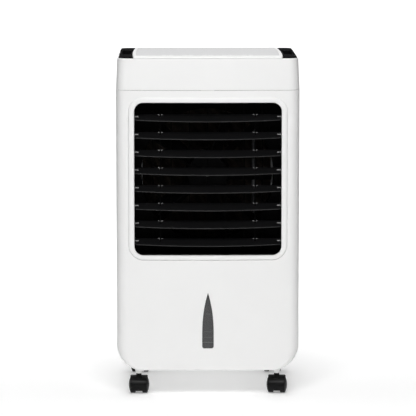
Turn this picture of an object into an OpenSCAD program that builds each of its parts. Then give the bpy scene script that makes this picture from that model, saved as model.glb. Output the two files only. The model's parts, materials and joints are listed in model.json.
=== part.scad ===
// Portable evaporative cooler on four twin-wheel casters.
// +Z is up, the air outlet faces -Y, and the origin is on the floor under the middle of the cabinet.

/* [Cabinet] */
// Width over the side walls
body_w = 385; // [320:1:470]
// Depth from the front of the bezel to the rear of the latch
body_d = 320; // [290:1:390]
// Height from the floor to the top of the deck
body_h = 720; // [640:1:870]
// Floor to the underside of the cabinet
floor_gap = 56; // [54:1:70]
// Thickness of the moulded walls
wall = 2.5; // [2:0.1:3.2]
// How far the middle of the front stands ahead of its sides
front_bow = 8; // [5:0.5:12]
// Radius of the front upright corners
front_corner_r = 24; // [20:1:28]
// Radius of the rear upright corners
rear_corner_r = 20; // [14:1:26]
// Radius of the rounded bottom edges along the sides
belly_r = 53; // [44:1:60]
// Height of the top band
band_h = 66.5; // [55:0.5:85]
// How far each side of the top band leans in
band_lean = 3; // [1:0.5:5]
// Depth of the front shell's side returns
return_d = 31; // [30:1:40]
// Visible line between two covers
seam = 1; // [0.6:0.1:1.6]

/* [Top] */
// How far the deck stands above the rim
deck_proud = 3.5; // [2.5:0.5:6]
// Width of each side trim, at its front end
trim_w = 34; // [30:1:44]
// How far the deck's sides bulge at mid depth
deck_bulge = 4; // [2:0.5:6]
// Length of the hand hold in each side trim
grip_l = 120; // [90:1:140]
// Depth of the hand hold
grip_d = 22; // [18:1:28]
// Thickness of the control film
film_t = 0.8; // [0.5:0.1:1.2]
// Travel of a push button
button_travel = 1; // [0.6:0.1:1.2]
// Length of a push button's cap
button_l = 26; // [20:1:30]
// Width of a push button's cap
button_w = 12; // [9:1:15]

/* [Air outlet] */
// Side wall to the outlet opening
outlet_side = 38; // [36:1:50]
// Top seam to the outlet opening
outlet_top = 26; // [24:1:40]
// Underside of the cabinet to the outlet opening
outlet_bottom = 246; // [240:1:300]
// Corner radius of the outlet opening
outlet_r = 19; // [14:1:24]
// Width of the bezel around the opening
bezel_w = 12; // [9:0.5:14]
// Width of the bezel below the opening
bezel_foot = 9.5; // [8:0.5:14]
// How far the bezel stands ahead of the front
bezel_proud = 2.5; // [1.5:0.1:4]
// Number of level blades
blade_count = 8; // [8:1:8]
// Blade from its pivot to the front edge, at the ends
blade_front = 16; // [13:0.5:17]
// How far the blade's front edge bows
blade_bow = 9; // [5:0.5:10]
// Blade from its pivot to the rear edge
blade_rear = 12; // [10:0.5:13]
// Thickness of a blade
blade_t = 2.2; // [1.8:0.1:2.6]
// Blade's downward tilt as it stands
blade_tilt = 20; // [10:1:30]
// Radius of a blade's end pin
blade_pin_r = 2.5; // [2:0.1:3]
// Number of upright vanes
vane_count = 7; // [7:1:7]
// Width of an upright vane
vane_chord = 30; // [24:1:32]
// Thickness of an upright vane
vane_t = 1.8; // [1.4:0.1:2.4]
// Radius of a vane's end pin
vane_pin_r = 2; // [1.6:0.1:2.4]

/* [Fan] */
// Fan diameter over the blade tips
fan_d = 276; // [220:1:286]
// Clearance from blade tip to shroud
tip_gap = 4; // [3:0.5:6]
// Hub diameter
hub_d = 84; // [70:1:96]
// Number of fan blades
fan_blades = 5; // [5:1:5]
// Fan depth along its shaft
fan_depth = 34; // [28:1:38]
// Shaft radius
shaft_r = 4; // [3:0.5:5]
// Motor diameter
motor_d = 92; // [80:1:100]
// Motor length
motor_l = 58; // [50:1:64]

/* [Water] */
// Thickness of the wet pad
pad_t = 26; // [20:1:30]
// Half width of the rear openings, from the middle
bay_side = 40.5; // [38:1:52]
// Height of the water tank
tank_h = 162; // [130:1:168]
// Length of the tank's finger pull
pull_l = 110; // [90:1:130]
// Outer radius of the pump hose
hose_r = 4.5; // [4:0.5:5.5]

/* [Casters] */
// Caster stem from the side of the cabinet
caster_side = 45.8; // [40:1:54]
// Front caster stems from the front of the cabinet
caster_end = 45; // [42:1:60]
// Rear caster stems from the rear of the cabinet
caster_rear_end = 33; // [30:1:60]
// Wheel radius
wheel_r = 18; // [16:0.5:19]
// Tread width of one wheel
tread_w = 10.2; // [8:0.2:11]
// How far a wheel's outer face domes out
wheel_dome = 4.5; // [3:0.5:6]
// Gap between the two wheels of a caster
fork_w = 14.6; // [13:0.2:16]
// Axle behind the stem
trail = 8; // [6:0.5:10]
// Stem radius
stem_r = 4; // [3.5:0.1:4.5]

/* [Fits] */
// Radial play of a pin that turns
run_fit = 0.05; // [0.03:0.01:0.08]
// Gap between pieces that sit against each other
gap = 0.3; // [0.2:0.05:0.4]

/* [Hidden] */
$fn = 48;
arc_steps = 8;
bow_steps = 16;

// Cabinet planes
hx = body_w / 2;
y_front = -body_d / 2;
y_skin = y_front + bezel_proud;
latch_proud = 3.5;
y_back = body_d / 2 - latch_proud;
y_split = y_skin + return_d;
z_belly = floor_gap;
z_rim = body_h - deck_proud;
z_seam = z_rim - band_h;
z_sill = z_belly + belly_r;

// The front is an arc that meets both corner arcs smoothly
bow_r = (hx * hx + front_bow * front_bow) / (2 * front_bow);
corner_x = hx - front_corner_r;
corner_y = y_skin + bow_r - sqrt(pow(bow_r - front_corner_r, 2) - corner_x * corner_x);
bow_angle = asin(corner_x / (bow_r - front_corner_r));
function bow_at(x) = bow_r - sqrt(bow_r * bow_r - x * x);

// Outlet
outlet_w = body_w - 2 * outlet_side;
outlet_z0 = z_belly + outlet_bottom;
outlet_z1 = z_seam - outlet_top;
outlet_h = outlet_z1 - outlet_z0;
outlet_zc = (outlet_z0 + outlet_z1) / 2;
lip_t = 2;
duct_t = 3;
duct_y0 = y_skin + 10;
duct_y1 = duct_y0 + 81.5;
flange_w = 10;
boss_r = 4;
blade_y = duct_y0 + 19.5;
blade_margin_top = 32;
blade_margin_bottom = 27;
blade_pitch = (outlet_h - blade_margin_top - blade_margin_bottom) / (blade_count - 1);
blade_end_play = 0.8;
blade_half = outlet_w / 2 - blade_end_play;
tie_x = outlet_w / 2 - 54.5;
tie_t = 2.6;
tie_slot = 4.2;
tie_half = 2.8;
tie_pin_r = 1.05;
tie_pin_y = blade_rear - 2;
tie_hole_r = tie_pin_r + run_fit + 0.02;
vane_y = duct_y1 - 22;
vane_front = vane_chord * 0.53;
vane_rear = vane_chord - vane_front;
vane_pitch = outlet_w / (vane_count + 1);
vane_drive = 4;
vane_z0 = outlet_z0 + 0.8;
vane_z1 = outlet_z1 - 0.8;
link_z = outlet_z0 + 58;
link_pin_y = vane_rear - 3;
link_pin_r = 0.9;

// Fan bay
shroud_t = 2.5;
shroud_y0 = duct_y1 + gap;
shroud_ring_l = 52;
shroud_ring_t = 2.5;
orifice_r = fan_d / 2 + tip_gap;
fan_zc = outlet_zc;
fan_y0 = shroud_y0 + 8;
spider_y0 = shroud_y0 + shroud_ring_l;
spider_t = 4;
motor_y0 = spider_y0 + spider_t + gap;
motor_r = motor_d / 2;

// Water bay
bay_half = hx - bay_side;
bay_z0 = z_belly + 7;
bay_z1 = bay_z0 + tank_h + 7;
bay_r = 30;
deck_z0 = bay_z1 + 4;
deck_t = 3;
deck_z1 = deck_z0 + deck_t;
intake_z0 = bay_z1 + 30;
intake_z1 = z_seam - 20;
panel_t = 3;
ledge_w = 6;
ledge_t = 3;
tank_half = bay_half - 4;
tank_z0 = z_belly + 8;
tank_z1 = tank_z0 + tank_h;
tank_y0 = y_skin + 13.5;
tank_y1 = y_back;
tank_t = 2.5;
rail_x = tank_half - 50;
rail_w = 8;
pull_h = 30;
pull_d = 20;
latch_z = (bay_z1 + intake_z0) / 2;
latch_half = 20;
latch_w = 11;
plug_x = 100;
plug_z = tank_z0 + 24;
plug_r = 5;
gland_x = bay_half - 14;
gland_r = 3.6;

// Pad and pump
pad_half = bay_half - 4;
pad_y1 = y_back - 44;
pad_y0 = pad_y1 - pad_t;
pad_yc = (pad_y0 + pad_y1) / 2;
pad_frame_t = 2;
pad_frame_z0 = deck_z1 + 8;
pad_z0 = pad_frame_z0 + pad_frame_t + gap;
pad_z1 = intake_z1 - 14;
trough_h = 20;
filter_t = 1.5;
pump_x = pad_half - 46;
pump_y = pad_y0 - pad_frame_t - 18;
pump_z0 = tank_z0 + tank_t + 6;
pump_h = 52;
pump_r = 20;
hanger_w = 14;
hose_t = 1.1;

// Top
rim_t = wall + 0.5;
deck_half = hx - trim_w - rim_t;
deck_bulge_r = (pow(body_d / 2, 2) + deck_bulge * deck_bulge) / (2 * deck_bulge);
skin_t = 3;
deck_low = body_h - 12;
shelf_z1 = deck_low - gap;
shelf_t = 2.5;
shelf_w = 9;
film_side = 7;
film_front = 34;
film_rear = 8;
button_count = 5;
button_names = ["power", "speed", "cool", "swing", "timer"];
button_pitch = 42;
button_y = y_skin + film_front + 26;
board_t = 1.6;
board_z1 = deck_low - 6.5;
switch_h = 4;
led_r = 1.5;

// Casters
caster_x = hx - caster_side;
caster_y = body_d / 2 - caster_end;
caster_rear_y = body_d / 2 - caster_rear_end;
caster_names = ["fl", "fr", "rl", "rr"];
caster_places = [[-1, -1], [1, -1], [-1, 1], [1, 1]];
// How far each caster stands turned about its stem
caster_turn = [-2, -6, 0, 0];
hood_in = wheel_r + 0.8;
hood_out = hood_in + 1.8;
hood_half = fork_w / 2 + tread_w + 0.7;
neck_r = 5.75;
socket_low = z_belly - 12;
socket_low_r = 6;
socket_high_r = 11;
socket_cone_top = z_belly + 8;
socket_top = z_belly + 12;
neck_top = socket_low - gap;
axle_r = 3;
notch_z = 7;

screw_x = hx - rear_corner_r - 5;
screw_rows = [z_sill - 22, latch_z, z_seam - 14];
screw_r = 1.75;

// ---------- helpers ----------

module block(x0, x1, y0, y1, z0, z1) translate([x0, y0, z0]) cube([x1 - x0, y1 - y0, z1 - z0]);
module x_rod(r, x0, x1, y, z) translate([x0, y, z]) rotate([0, 90, 0]) cylinder(r = r, h = x1 - x0);
module y_rod(r, x, y0, y1, z) translate([x, y1, z]) rotate([90, 0, 0]) cylinder(r = r, h = y1 - y0);
module z_rod(r, x, y, z0, z1) translate([x, y, z0]) cylinder(r = r, h = z1 - z0);

// A front-view outline, drawn as x and z, carried along Y
module y_prism(y0, y1) translate([0, y1, 0]) rotate([90, 0, 0]) linear_extrude(y1 - y0) children();

// A side-view outline, drawn as y and z, carried along X
module x_prism(x0, x1) translate([x0, 0, 0]) rotate([90, 0, 90]) linear_extrude(x1 - x0) children();

function arc(cx, cy, r, a0, a1, n) =
    [for (i = [0 : n]) let (a = a0 + (a1 - a0) * i / n) [cx + r * cos(a), cy + r * sin(a)]];

function rounded(x0, x1, z0, z1, r) = concat(
    arc(x1 - r, z0 + r, r, -90, 0, arc_steps), arc(x1 - r, z1 - r, r, 0, 90, arc_steps),
    arc(x0 + r, z1 - r, r, 90, 180, arc_steps), arc(x0 + r, z0 + r, r, 180, 270, arc_steps));

module rounded_2d(x0, x1, z0, z1, r) polygon(rounded(x0, x1, z0, z1, r));

// Bay outline: square on top and rounded below, to follow the belly
module bay_2d(half, z0, z1, r) polygon(concat(
    arc(half - r, z0 + r, r, -90, 0, arc_steps), [[half, z1], [-half, z1]],
    arc(r - half, z0 + r, r, 180, 270, arc_steps)));

// Plan outline of the cabinet, taken in by o
function plan(o) = concat(
    [for (i = [0 : bow_steps]) let (a = bow_angle * (2 * i / bow_steps - 1))
        [(bow_r - o) * sin(a), y_skin + bow_r - (bow_r - o) * cos(a)]],
    arc(corner_x, corner_y, front_corner_r - o, bow_angle - 90 + 8, 0, arc_steps),
    arc(hx - rear_corner_r, y_back - rear_corner_r, rear_corner_r - o, 0, 90, arc_steps),
    arc(rear_corner_r - hx, y_back - rear_corner_r, rear_corner_r - o, 90, 180, arc_steps),
    arc(-corner_x, corner_y, front_corner_r - o, 180, 270 - bow_angle - 8, arc_steps));

module upright(o, z0, z1) translate([0, 0, z0]) linear_extrude(z1 - z0) polygon(plan(o));

// What the rounded bottom edges remove
module belly_cut(o) for (s = [-1, 1])
    y_prism(y_front - 20, -y_front + 20) polygon(concat(
        [for (p = arc(hx - belly_r, z_sill, belly_r - o, -90, 0, 12)) [s * p[0], p[1]]],
        [[s * (hx + 20), z_sill], [s * (hx + 20), z_belly - 20], [s * (hx - belly_r), z_belly - 20]]));

// What the leaning sides of the top band remove
module lean_cut(o) for (s = [-1, 1])
    y_prism(y_front - 20, -y_front + 20) polygon([
        [s * (hx - o), z_seam], [s * (hx + 20), z_seam], [s * (hx + 20), z_rim + 20],
        [s * (hx - o - band_lean * (z_rim + 20 - z_seam) / band_h), z_rim + 20]]);

module cabinet(o, z0, z1) difference() { upright(o, z0, z1); belly_cut(o); }
module band(o, z0, z1) difference() { upright(o, z0, z1); lean_cut(o); }

// ---------- covers ----------

module outlet_2d(grow) rounded_2d(-outlet_w / 2 - grow, outlet_w / 2 + grow,
    outlet_z0 - grow, outlet_z1 + grow, outlet_r + grow);

module bezel_2d() rounded_2d(-outlet_w / 2 - bezel_w, outlet_w / 2 + bezel_w,
    outlet_z0 - bezel_foot, outlet_z1 + bezel_w, outlet_r + bezel_w);

// Pointed sight window: half width at a share t of its height, from the tip down
window_tip = z_belly + 166;
window_l = 117.6;
window_half = 11.8;
window_foot_r = 4;
function window_half_at(t) = window_half * (t < 0.75 ? 1 - pow(1 - t / 0.75, 2.3) : 1);
function window_side(grow) = [for (t = [0.01, 0.04, 0.09, 0.16, 0.25, 0.36, 0.48, 0.6, 0.75])
    [window_half_at(t) + grow, window_tip - window_l * t]];
module window_2d(grow) {
    side = window_side(grow);
    foot = arc(window_half - window_foot_r, window_tip - window_l + window_foot_r, window_foot_r + grow,
        -90, 0, 4);
    polygon(concat([[0, window_tip + grow]], side, [for (i = [4 : -1 : 0]) foot[i]],
        [for (p = foot) [-p[0], p[1]]], [for (i = [len(side) - 1 : -1 : 0]) [-side[i][0], side[i][1]]]));
}

bezel_boss_x = outlet_w / 2 - 36;
module front_panel() color("whitesmoke") difference() {
    union() {
        difference() {
            cabinet(0, z_belly, z_seam - seam / 2);
            cabinet(wall, z_belly + wall, z_seam + 1);
            block(-hx - 5, hx + 5, y_split, -y_front + 20, 0, body_h);
        }
        for (x = [-bezel_boss_x, bezel_boss_x], z = [outlet_z0 - 7.5, outlet_z1 + 7.5])
            y_rod(boss_r, x, y_skin + bow_at(bezel_boss_x) + wall / 2, duct_y0, z);
    }
    y_prism(y_front - 5, y_split) outlet_2d(lip_t + gap);
    y_prism(y_front - 5, y_split) window_2d(gap);
}

module louvre_bezel() color("white") intersection() {
    upright(-bezel_proud, outlet_z0 - 20, outlet_z1 + 20);
    difference() {
        union() {
            difference() {
                y_prism(y_front - 5, y_skin + 20) bezel_2d();
                upright(0, outlet_z0 - 25, outlet_z1 + 25);
            }
            y_prism(y_front - 5, duct_y0 - gap) outlet_2d(lip_t);
        }
        y_prism(y_front - 6, duct_y0 + 5) outlet_2d(0);
    }
}

// The window's flange seats behind the panel
module level_window() color([0.2, 0.2, 0.21]) {
    y_prism(y_skin - 0.4, y_skin + wall + 1) window_2d(0);
    y_prism(y_skin + wall + gap, y_skin + wall + 2) window_2d(3);
}

module top_cover() color("whitesmoke") {
    difference() {
        band(0, z_seam + seam / 2, z_rim);
        band(wall, z_seam - 1, z_rim + 1);
    }
    difference() {
        band(wall, shelf_z1 - shelf_t, shelf_z1);
        band(wall + shelf_w, shelf_z1 - shelf_t - 1, shelf_z1 + 1);
        // Room for the hand holds
        for (s = [-1, 1]) translate([s * grip_x, 0, 0]) block(-grip_half - 2 - gap, grip_half + 2 + gap,
            -grip_l / 2 - 2 - gap, grip_l / 2 + 2 + gap, shelf_z1 - shelf_t - 1, shelf_z1 + 1);
    }
    for (s = [-1, 1]) difference() {
        block(s * screw_x - 6, s * screw_x + 6, y_back - wall - gap - 3, y_back - wall - gap, z_seam - 30,
            z_seam + 12);
        y_rod(screw_r + run_fit, s * screw_x, y_back - 12, y_back, screw_rows[2]);
    }
    // Bridges that tie the rear tabs to the band
    for (s = [-1, 1]) block(s * screw_x - 6, s * screw_x + 6, y_back - wall - gap - 3, y_back - wall + 0.5,
        z_seam + 2, z_seam + 12);
}

// Deck outline: the rim line in front and behind, bulging sides between
module deck_2d(side, rim) intersection() {
    polygon(plan(rim));
    polygon([for (s = [-1, 1], i = [0 : 12]) let (y = s * y_front * (1 - i / 6))
        [-s * (deck_half - side + deck_bulge - deck_bulge_r + sqrt(pow(deck_bulge_r, 2) - y * y)), y]]);
}

module film_2d(shrink) intersection() {
    deck_2d(film_side + shrink, rim_t);
    translate([-hx, y_skin + film_front + shrink])
        square([body_w, y_back - y_skin - rim_t - film_front - film_rear - 2 * shrink]);
}

function button_x(i) = (i - (button_count - 1) / 2) * button_pitch;
module button_2d(i, grow) translate([button_x(i), button_y])
    rounded_2d(-button_l / 2 - grow, button_l / 2 + grow, -button_w / 2 - grow, button_w / 2 + grow,
        button_w / 2 + grow - 0.01);

module control_deck() color("white") difference() {
    translate([0, 0, deck_low]) linear_extrude(body_h - deck_low) deck_2d(0, rim_t);
    translate([0, 0, deck_low - 1]) linear_extrude(body_h - deck_low - skin_t + 1) deck_2d(3, rim_t + 3);
    translate([0, 0, body_h - film_t]) linear_extrude(film_t + 1) film_2d(0);
    for (i = [0 : button_count - 1]) {
        translate([0, 0, deck_low]) linear_extrude(20) button_2d(i, gap);
        z_rod(led_r + 0.6, button_x(i), button_y + 14, deck_low, body_h + 1);
    }
}

module control_film() color("lightgray") difference() {
    translate([0, 0, body_h - film_t]) linear_extrude(film_t) film_2d(gap);
    for (i = [0 : button_count - 1]) {
        translate([0, 0, body_h - 5]) linear_extrude(20) button_2d(i, gap);
        z_rod(led_r, button_x(i), button_y + 14, body_h - 5, body_h + 1);
    }
}

// Push button: cap, then a wider collar under the deck skin, then a plunger over its switch
module push_button(i) color("gainsboro") {
    translate([0, 0, body_h - skin_t - 1.5]) linear_extrude(skin_t + 1.5) button_2d(i, 0);
    translate([0, 0, body_h - skin_t - 1.5]) linear_extrude(1.2) button_2d(i, 1.5);
    z_rod(2, button_x(i), button_y, board_z1 + switch_h + button_travel + gap, body_h - skin_t - 1);
}

trim_x0 = deck_half + gap;
module trim_2d() difference() {
    intersection() {
        polygon(plan(rim_t));
        translate([trim_x0 - 20, y_front]) square([hx - rim_t - band_lean - trim_x0 + 20, body_d]);
    }
    deck_2d(-gap, -20);
}
grip_half = 9;
grip_x = hx - rim_t - band_lean - grip_half - 5.5;
module side_trim() difference() {
    union() {
        difference() {
            translate([0, 0, deck_low]) linear_extrude(body_h - deck_low) trim_2d();
            block(deck_half + deck_bulge + 4, hx - rim_t - band_lean - 2.5, y_skin + 20, y_back - 20,
                deck_low - 1, body_h - skin_t);
        }
        block(grip_x - grip_half - 2, grip_x + grip_half + 2, -grip_l / 2 - 2, grip_l / 2 + 2,
            body_h - grip_d - 2, body_h - 1);
    }
    block(grip_x - grip_half, grip_x + grip_half, -grip_l / 2, grip_l / 2, body_h - grip_d, body_h + 1);
}
module top_side_trims() color([0.08, 0.08, 0.085]) { side_trim(); mirror([1, 0, 0]) side_trim(); }

// Rear shell: both sides and the back, open at the intake and at the tank bay
module rear_shell() color("whitesmoke") difference() {
    union() {
        difference() {
            upright(0, z_sill + seam / 2, z_seam - seam / 2);
            upright(wall, z_sill - 5, z_seam + 5);
            block(-hx - 5, hx + 5, y_front - 5, y_split + seam, 0, body_h);
        }
        // Ledges that carry the chassis deck
        for (s = [-1, 1]) translate([s * (hx - wall - ledge_w / 2 + 0.5), 0, 0])
            block(-ledge_w / 2, ledge_w / 2, y_split + 12, y_back - rear_corner_r, deck_z0 - gap - ledge_t,
                deck_z0 - gap);
        // Rim around the intake, which seats the grille's filter
        y_prism(y_back - 14, y_back - 1) difference() {
            rounded_2d(-bay_half - wall, bay_half + wall, intake_z0 - wall, intake_z1 + wall, 6 + wall);
            rounded_2d(-bay_half, bay_half, intake_z0, intake_z1, 6);
        }
    }
    y_prism(y_back - 10, y_back + 10) rounded_2d(-bay_half, bay_half, intake_z0, intake_z1, 6);
    y_prism(y_back - 10, y_back + 10) bay_2d(bay_half, bay_z0, bay_z1, bay_r);
    y_rod(3 + run_fit, 0, y_back - 10, y_back + 10, latch_z);
    y_rod(gland_r + 2 + run_fit, -gland_x, y_back - 10, y_back + 10, latch_z);
    for (s = [-1, 1], z = screw_rows) y_rod(screw_r + 0.15, s * screw_x, y_back - 10, y_back + 10, z);
}

function caster_at(i) = [caster_places[i][0] * caster_x, caster_places[i][1] < 0 ? -caster_y : caster_rear_y];

module base_tray() color("whitesmoke") difference() {
    union() {
        difference() {
            cabinet(0, z_belly, z_sill - seam / 2);
            cabinet(wall, z_belly + wall, z_sill + 5);
            block(-hx - 5, hx + 5, y_front - 5, y_split + seam, 0, body_h);
        }
        // Rails under the tank
        for (s = [-1, 1]) block(s * rail_x - rail_w / 2, s * rail_x + rail_w / 2, y_split + seam, y_back - wall,
            z_belly + wall - 0.5, tank_z0 - gap);
        // Caster sockets
        for (i = [0 : 3]) translate([caster_at(i)[0], caster_at(i)[1], 0]) {
            translate([0, 0, socket_low])
                cylinder(r1 = socket_low_r, r2 = socket_high_r, h = socket_cone_top - socket_low);
            z_rod(socket_high_r - 1, 0, 0, z_belly + 0.5, socket_top);
        }
        // Tabs behind the rear wall
        for (s = [-1, 1]) block(s * screw_x - 6, s * screw_x + 6, y_back - wall - gap - 3, y_back - wall - gap,
            z_sill - 36, z_sill + 8);
        for (s = [-1, 1]) block(s * screw_x - 6, s * screw_x + 6, y_back - wall - gap - 3, y_back - wall + 0.5,
            z_sill - 36, z_sill - 28);
    }
    y_prism(y_back - 20, y_back + 10) bay_2d(bay_half, bay_z0, bay_z1, bay_r);
    for (i = [0 : 3])
        z_rod(stem_r + run_fit, caster_at(i)[0], caster_at(i)[1], socket_low - 1, socket_top - 2);
    for (s = [-1, 1]) y_rod(screw_r + run_fit, s * screw_x, y_back - 20, y_back + 5, screw_rows[0]);
}

module casing_screws() color("silver") for (s = [-1, 1], z = screw_rows) {
    y_rod(screw_r, s * screw_x, y_back - 8, y_back + 0.5, z);
    difference() {
        y_rod(3.6, s * screw_x, y_back, y_back + 1.8, z);
        block(s * screw_x - 2.2, s * screw_x + 2.2, y_back + 1, y_back + 3, z - 0.45, z + 0.45);
        block(s * screw_x - 0.45, s * screw_x + 0.45, y_back + 1, y_back + 3, z - 2.2, z + 2.2);
    }
}

module chassis_deck() color("gray") difference() {
    union() {
        block(-hx + wall + gap, hx - wall - gap, y_split + 12, y_back - rear_corner_r, deck_z0, deck_z1);
        for (s = [-1, 1]) block(s * screw_x - 6, s * screw_x + 6, y_back - rear_corner_r - 1, y_back - wall - gap,
            deck_z0, deck_z1);
        for (s = [-1, 1]) block(s * screw_x - 6, s * screw_x + 6, y_back - wall - gap - 3, y_back - wall - gap,
            deck_z0, latch_z + 8);
    }
    for (x = [-1, 0, 1]) block(x * pad_half * 0.62 - pad_half * 0.26, x * pad_half * 0.62 + pad_half * 0.26,
        pad_yc - 8, pad_yc + 8, deck_z0 - 1, deck_z1 + 1);
    z_rod(hose_r + 1, pump_x, pump_y, deck_z0 - 1, deck_z1 + 1);
    for (s = [-1, 1]) y_rod(screw_r + run_fit, s * screw_x, y_back - 20, y_back + 5, screw_rows[1]);
}

module cord_gland() color([0.08, 0.08, 0.08]) difference() {
    union() {
        y_rod(gland_r + 2, -gland_x, y_back - 12, y_back + 1, latch_z);
        y_rod(gland_r + 4.4, -gland_x, y_back + gap, y_back + latch_proud, latch_z);
        y_rod(gland_r + 4.4, -gland_x, y_back - 9, y_back - wall - gap, latch_z);
    }
    y_rod(gland_r, -gland_x, y_back - 20, y_back + 10, latch_z);
}

// ---------- air outlet ----------

module duct_2d(grow) rounded_2d(-outlet_w / 2 - grow, outlet_w / 2 + grow, outlet_z0 - grow, outlet_z1 + grow,
    4 + grow);
function blade_z(i) = outlet_z1 - blade_margin_top - (i - 1) * blade_pitch;
function vane_x(i) = (i - (vane_count + 1) / 2) * vane_pitch;

module louvre_frame() color([0.07, 0.07, 0.075]) difference() {
    union() {
        y_prism(duct_y0, duct_y1) duct_2d(duct_t);
        y_prism(duct_y0, duct_y0 + 2.5) duct_2d(duct_t + flange_w);
    }
    y_prism(duct_y0 - 1, duct_y1 + 1) duct_2d(0);
    for (i = [1 : blade_count])
        x_rod(blade_pin_r + run_fit, -outlet_w / 2 - 10, outlet_w / 2 + 10, blade_y, blade_z(i));
    for (i = [1 : vane_count])
        z_rod(vane_pin_r + run_fit, vane_x(i), vane_y, outlet_z0 - 10, outlet_z1 + 10);
}

// Level blade, drawn flat about its pivot and then tilted. A slot near each end is bridged by the tie bar's pin.
module blade_2d() difference() {
    polygon(concat(
        [for (i = [0 : 16]) let (x = blade_half * (i / 8 - 1))
            [x, -blade_front - blade_bow * (1 - pow(x / blade_half, 2))]],
        [[blade_half, blade_rear], [-blade_half, blade_rear]]));
    for (s = [-1, 1]) translate([s * tie_x - tie_slot / 2, -2]) square([tie_slot, 40]);
}
module louvre_blade(i) color([0.09, 0.09, 0.095])
    translate([0, blade_y, blade_z(i)]) rotate([blade_tilt, 0, 0]) {
        translate([0, 0, -blade_t / 2]) linear_extrude(blade_t) blade_2d();
        for (s = [-1, 1]) {
            x_rod(tie_pin_r, s * tie_x - tie_slot / 2 - 0.5, s * tie_x + tie_slot / 2 + 0.5, tie_pin_y, 0);
            x_rod(blade_pin_r, s * (blade_half + duct_t / 2) - duct_t / 2 - 1.3,
                s * (blade_half + duct_t / 2) + duct_t / 2 + 1.3, 0, 0);
        }
    }

// Tie bars join all the blades, so that they tilt together
tie_y = blade_y + tie_pin_y * cos(blade_tilt);
function tie_z(i) = blade_z(i) + tie_pin_y * sin(blade_tilt);
module louvre_tie_bars() color([0.1, 0.1, 0.105]) for (s = [-1, 1]) difference() {
    block(s * tie_x - tie_t / 2, s * tie_x + tie_t / 2, tie_y - tie_half, tie_y + tie_half,
        tie_z(blade_count) - 4, tie_z(1) + 4);
    for (i = [1 : blade_count]) x_rod(tie_hole_r, s * tie_x - 5, s * tie_x + 5, tie_y, tie_z(i));
}

// Upright vane, with a slot bridged by the link bar's pin. The driven one reaches up into the swing motor.
drive_reach = 7;
module swing_vane(i) color([0.1, 0.1, 0.105]) translate([vane_x(i), vane_y, 0]) {
    difference() {
        block(-vane_t / 2, vane_t / 2, -vane_front, vane_rear, vane_z0, vane_z1);
        block(-5, 5, 0, vane_rear + 5, link_z - tie_slot / 2, link_z + tie_slot / 2);
    }
    z_rod(link_pin_r, 0, link_pin_y, link_z - tie_slot / 2 - 0.5, link_z + tie_slot / 2 + 0.5);
    z_rod(vane_pin_r, 0, 0, outlet_z0 - duct_t - 0.5, vane_z0 + 3);
    z_rod(vane_pin_r, 0, 0, vane_z1 - 3, outlet_z1 + duct_t + (i == vane_drive ? drive_reach : 0.5));
}

module swing_link_bar() color([0.1, 0.1, 0.105]) difference() {
    block(vane_x(1) - 4, vane_x(vane_count) + 4, vane_y + link_pin_y - tie_half, vane_y + link_pin_y + tie_half,
        link_z - tie_t / 2, link_z + tie_t / 2);
    for (i = [1 : vane_count]) z_rod(link_pin_r + run_fit + 0.02, vane_x(i),
        vane_y + link_pin_y, link_z - 5, link_z + 5);
}

swing_r = 14;
swing_h = 19;
module swing_motor() color("lightsteelblue") translate([vane_x(vane_drive), vane_y, outlet_z1 + duct_t]) difference() {
    union() {
        cylinder(r = swing_r, h = swing_h);
        block(-swing_r - 8, swing_r + 8, -3.5, 3.5, 0, 2);
    }
    translate([0, 0, -1]) cylinder(r = vane_pin_r + run_fit, h = drive_reach + 2);
}

// ---------- fan ----------

// Plate and ring, with four arms and the motor's plate at the rear end of the ring
module fan_shroud() color("dimgray") difference() {
    union() {
        difference() {
            union() {
                block(-hx + wall + gap, hx - wall - gap, shroud_y0, shroud_y0 + shroud_t, deck_z1 + gap,
                    z_seam - 3);
                y_rod(orifice_r + shroud_ring_t, 0, shroud_y0, spider_y0 + spider_t, fan_zc);
            }
            y_rod(orifice_r, 0, shroud_y0 - 5, spider_y0 + spider_t + 5, fan_zc);
        }
        for (a = [45, 135]) translate([0, 0, fan_zc]) rotate([0, a, 0])
            block(-orifice_r - 1, orifice_r + 1, spider_y0 + 0.2, spider_y0 + spider_t - 0.2, -7, 7);
        y_rod(motor_r + 2, 0, spider_y0, spider_y0 + spider_t, fan_zc);
    }
    y_rod(14, 0, spider_y0 - 5, spider_y0 + spider_t + 5, fan_zc);
}

module fan_motor() color("slategray") difference() {
    union() {
        y_rod(motor_r, 0, motor_y0, motor_y0 + motor_l - 12, fan_zc);
        y_rod(motor_r - 7, 0, motor_y0 + motor_l - 13, motor_y0 + motor_l, fan_zc);
        y_rod(12, 0, motor_y0 - spider_t - 3, motor_y0 + 1, fan_zc);
        for (a = [0, 90, 180, 270]) translate([0, 0, fan_zc]) rotate([0, a, 0])
            block(motor_r - 3, motor_r + 1.5, motor_y0 + 0.5, motor_y0 + motor_l - 16, -8, 8);
    }
    y_rod(shaft_r + run_fit, 0, motor_y0 - 20, motor_y0 + motor_l - 14, fan_zc);
}

module fan_shaft() color("silver")
    y_rod(shaft_r, 0, fan_y0 - 4, motor_y0 + motor_l - 15, fan_zc);

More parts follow.
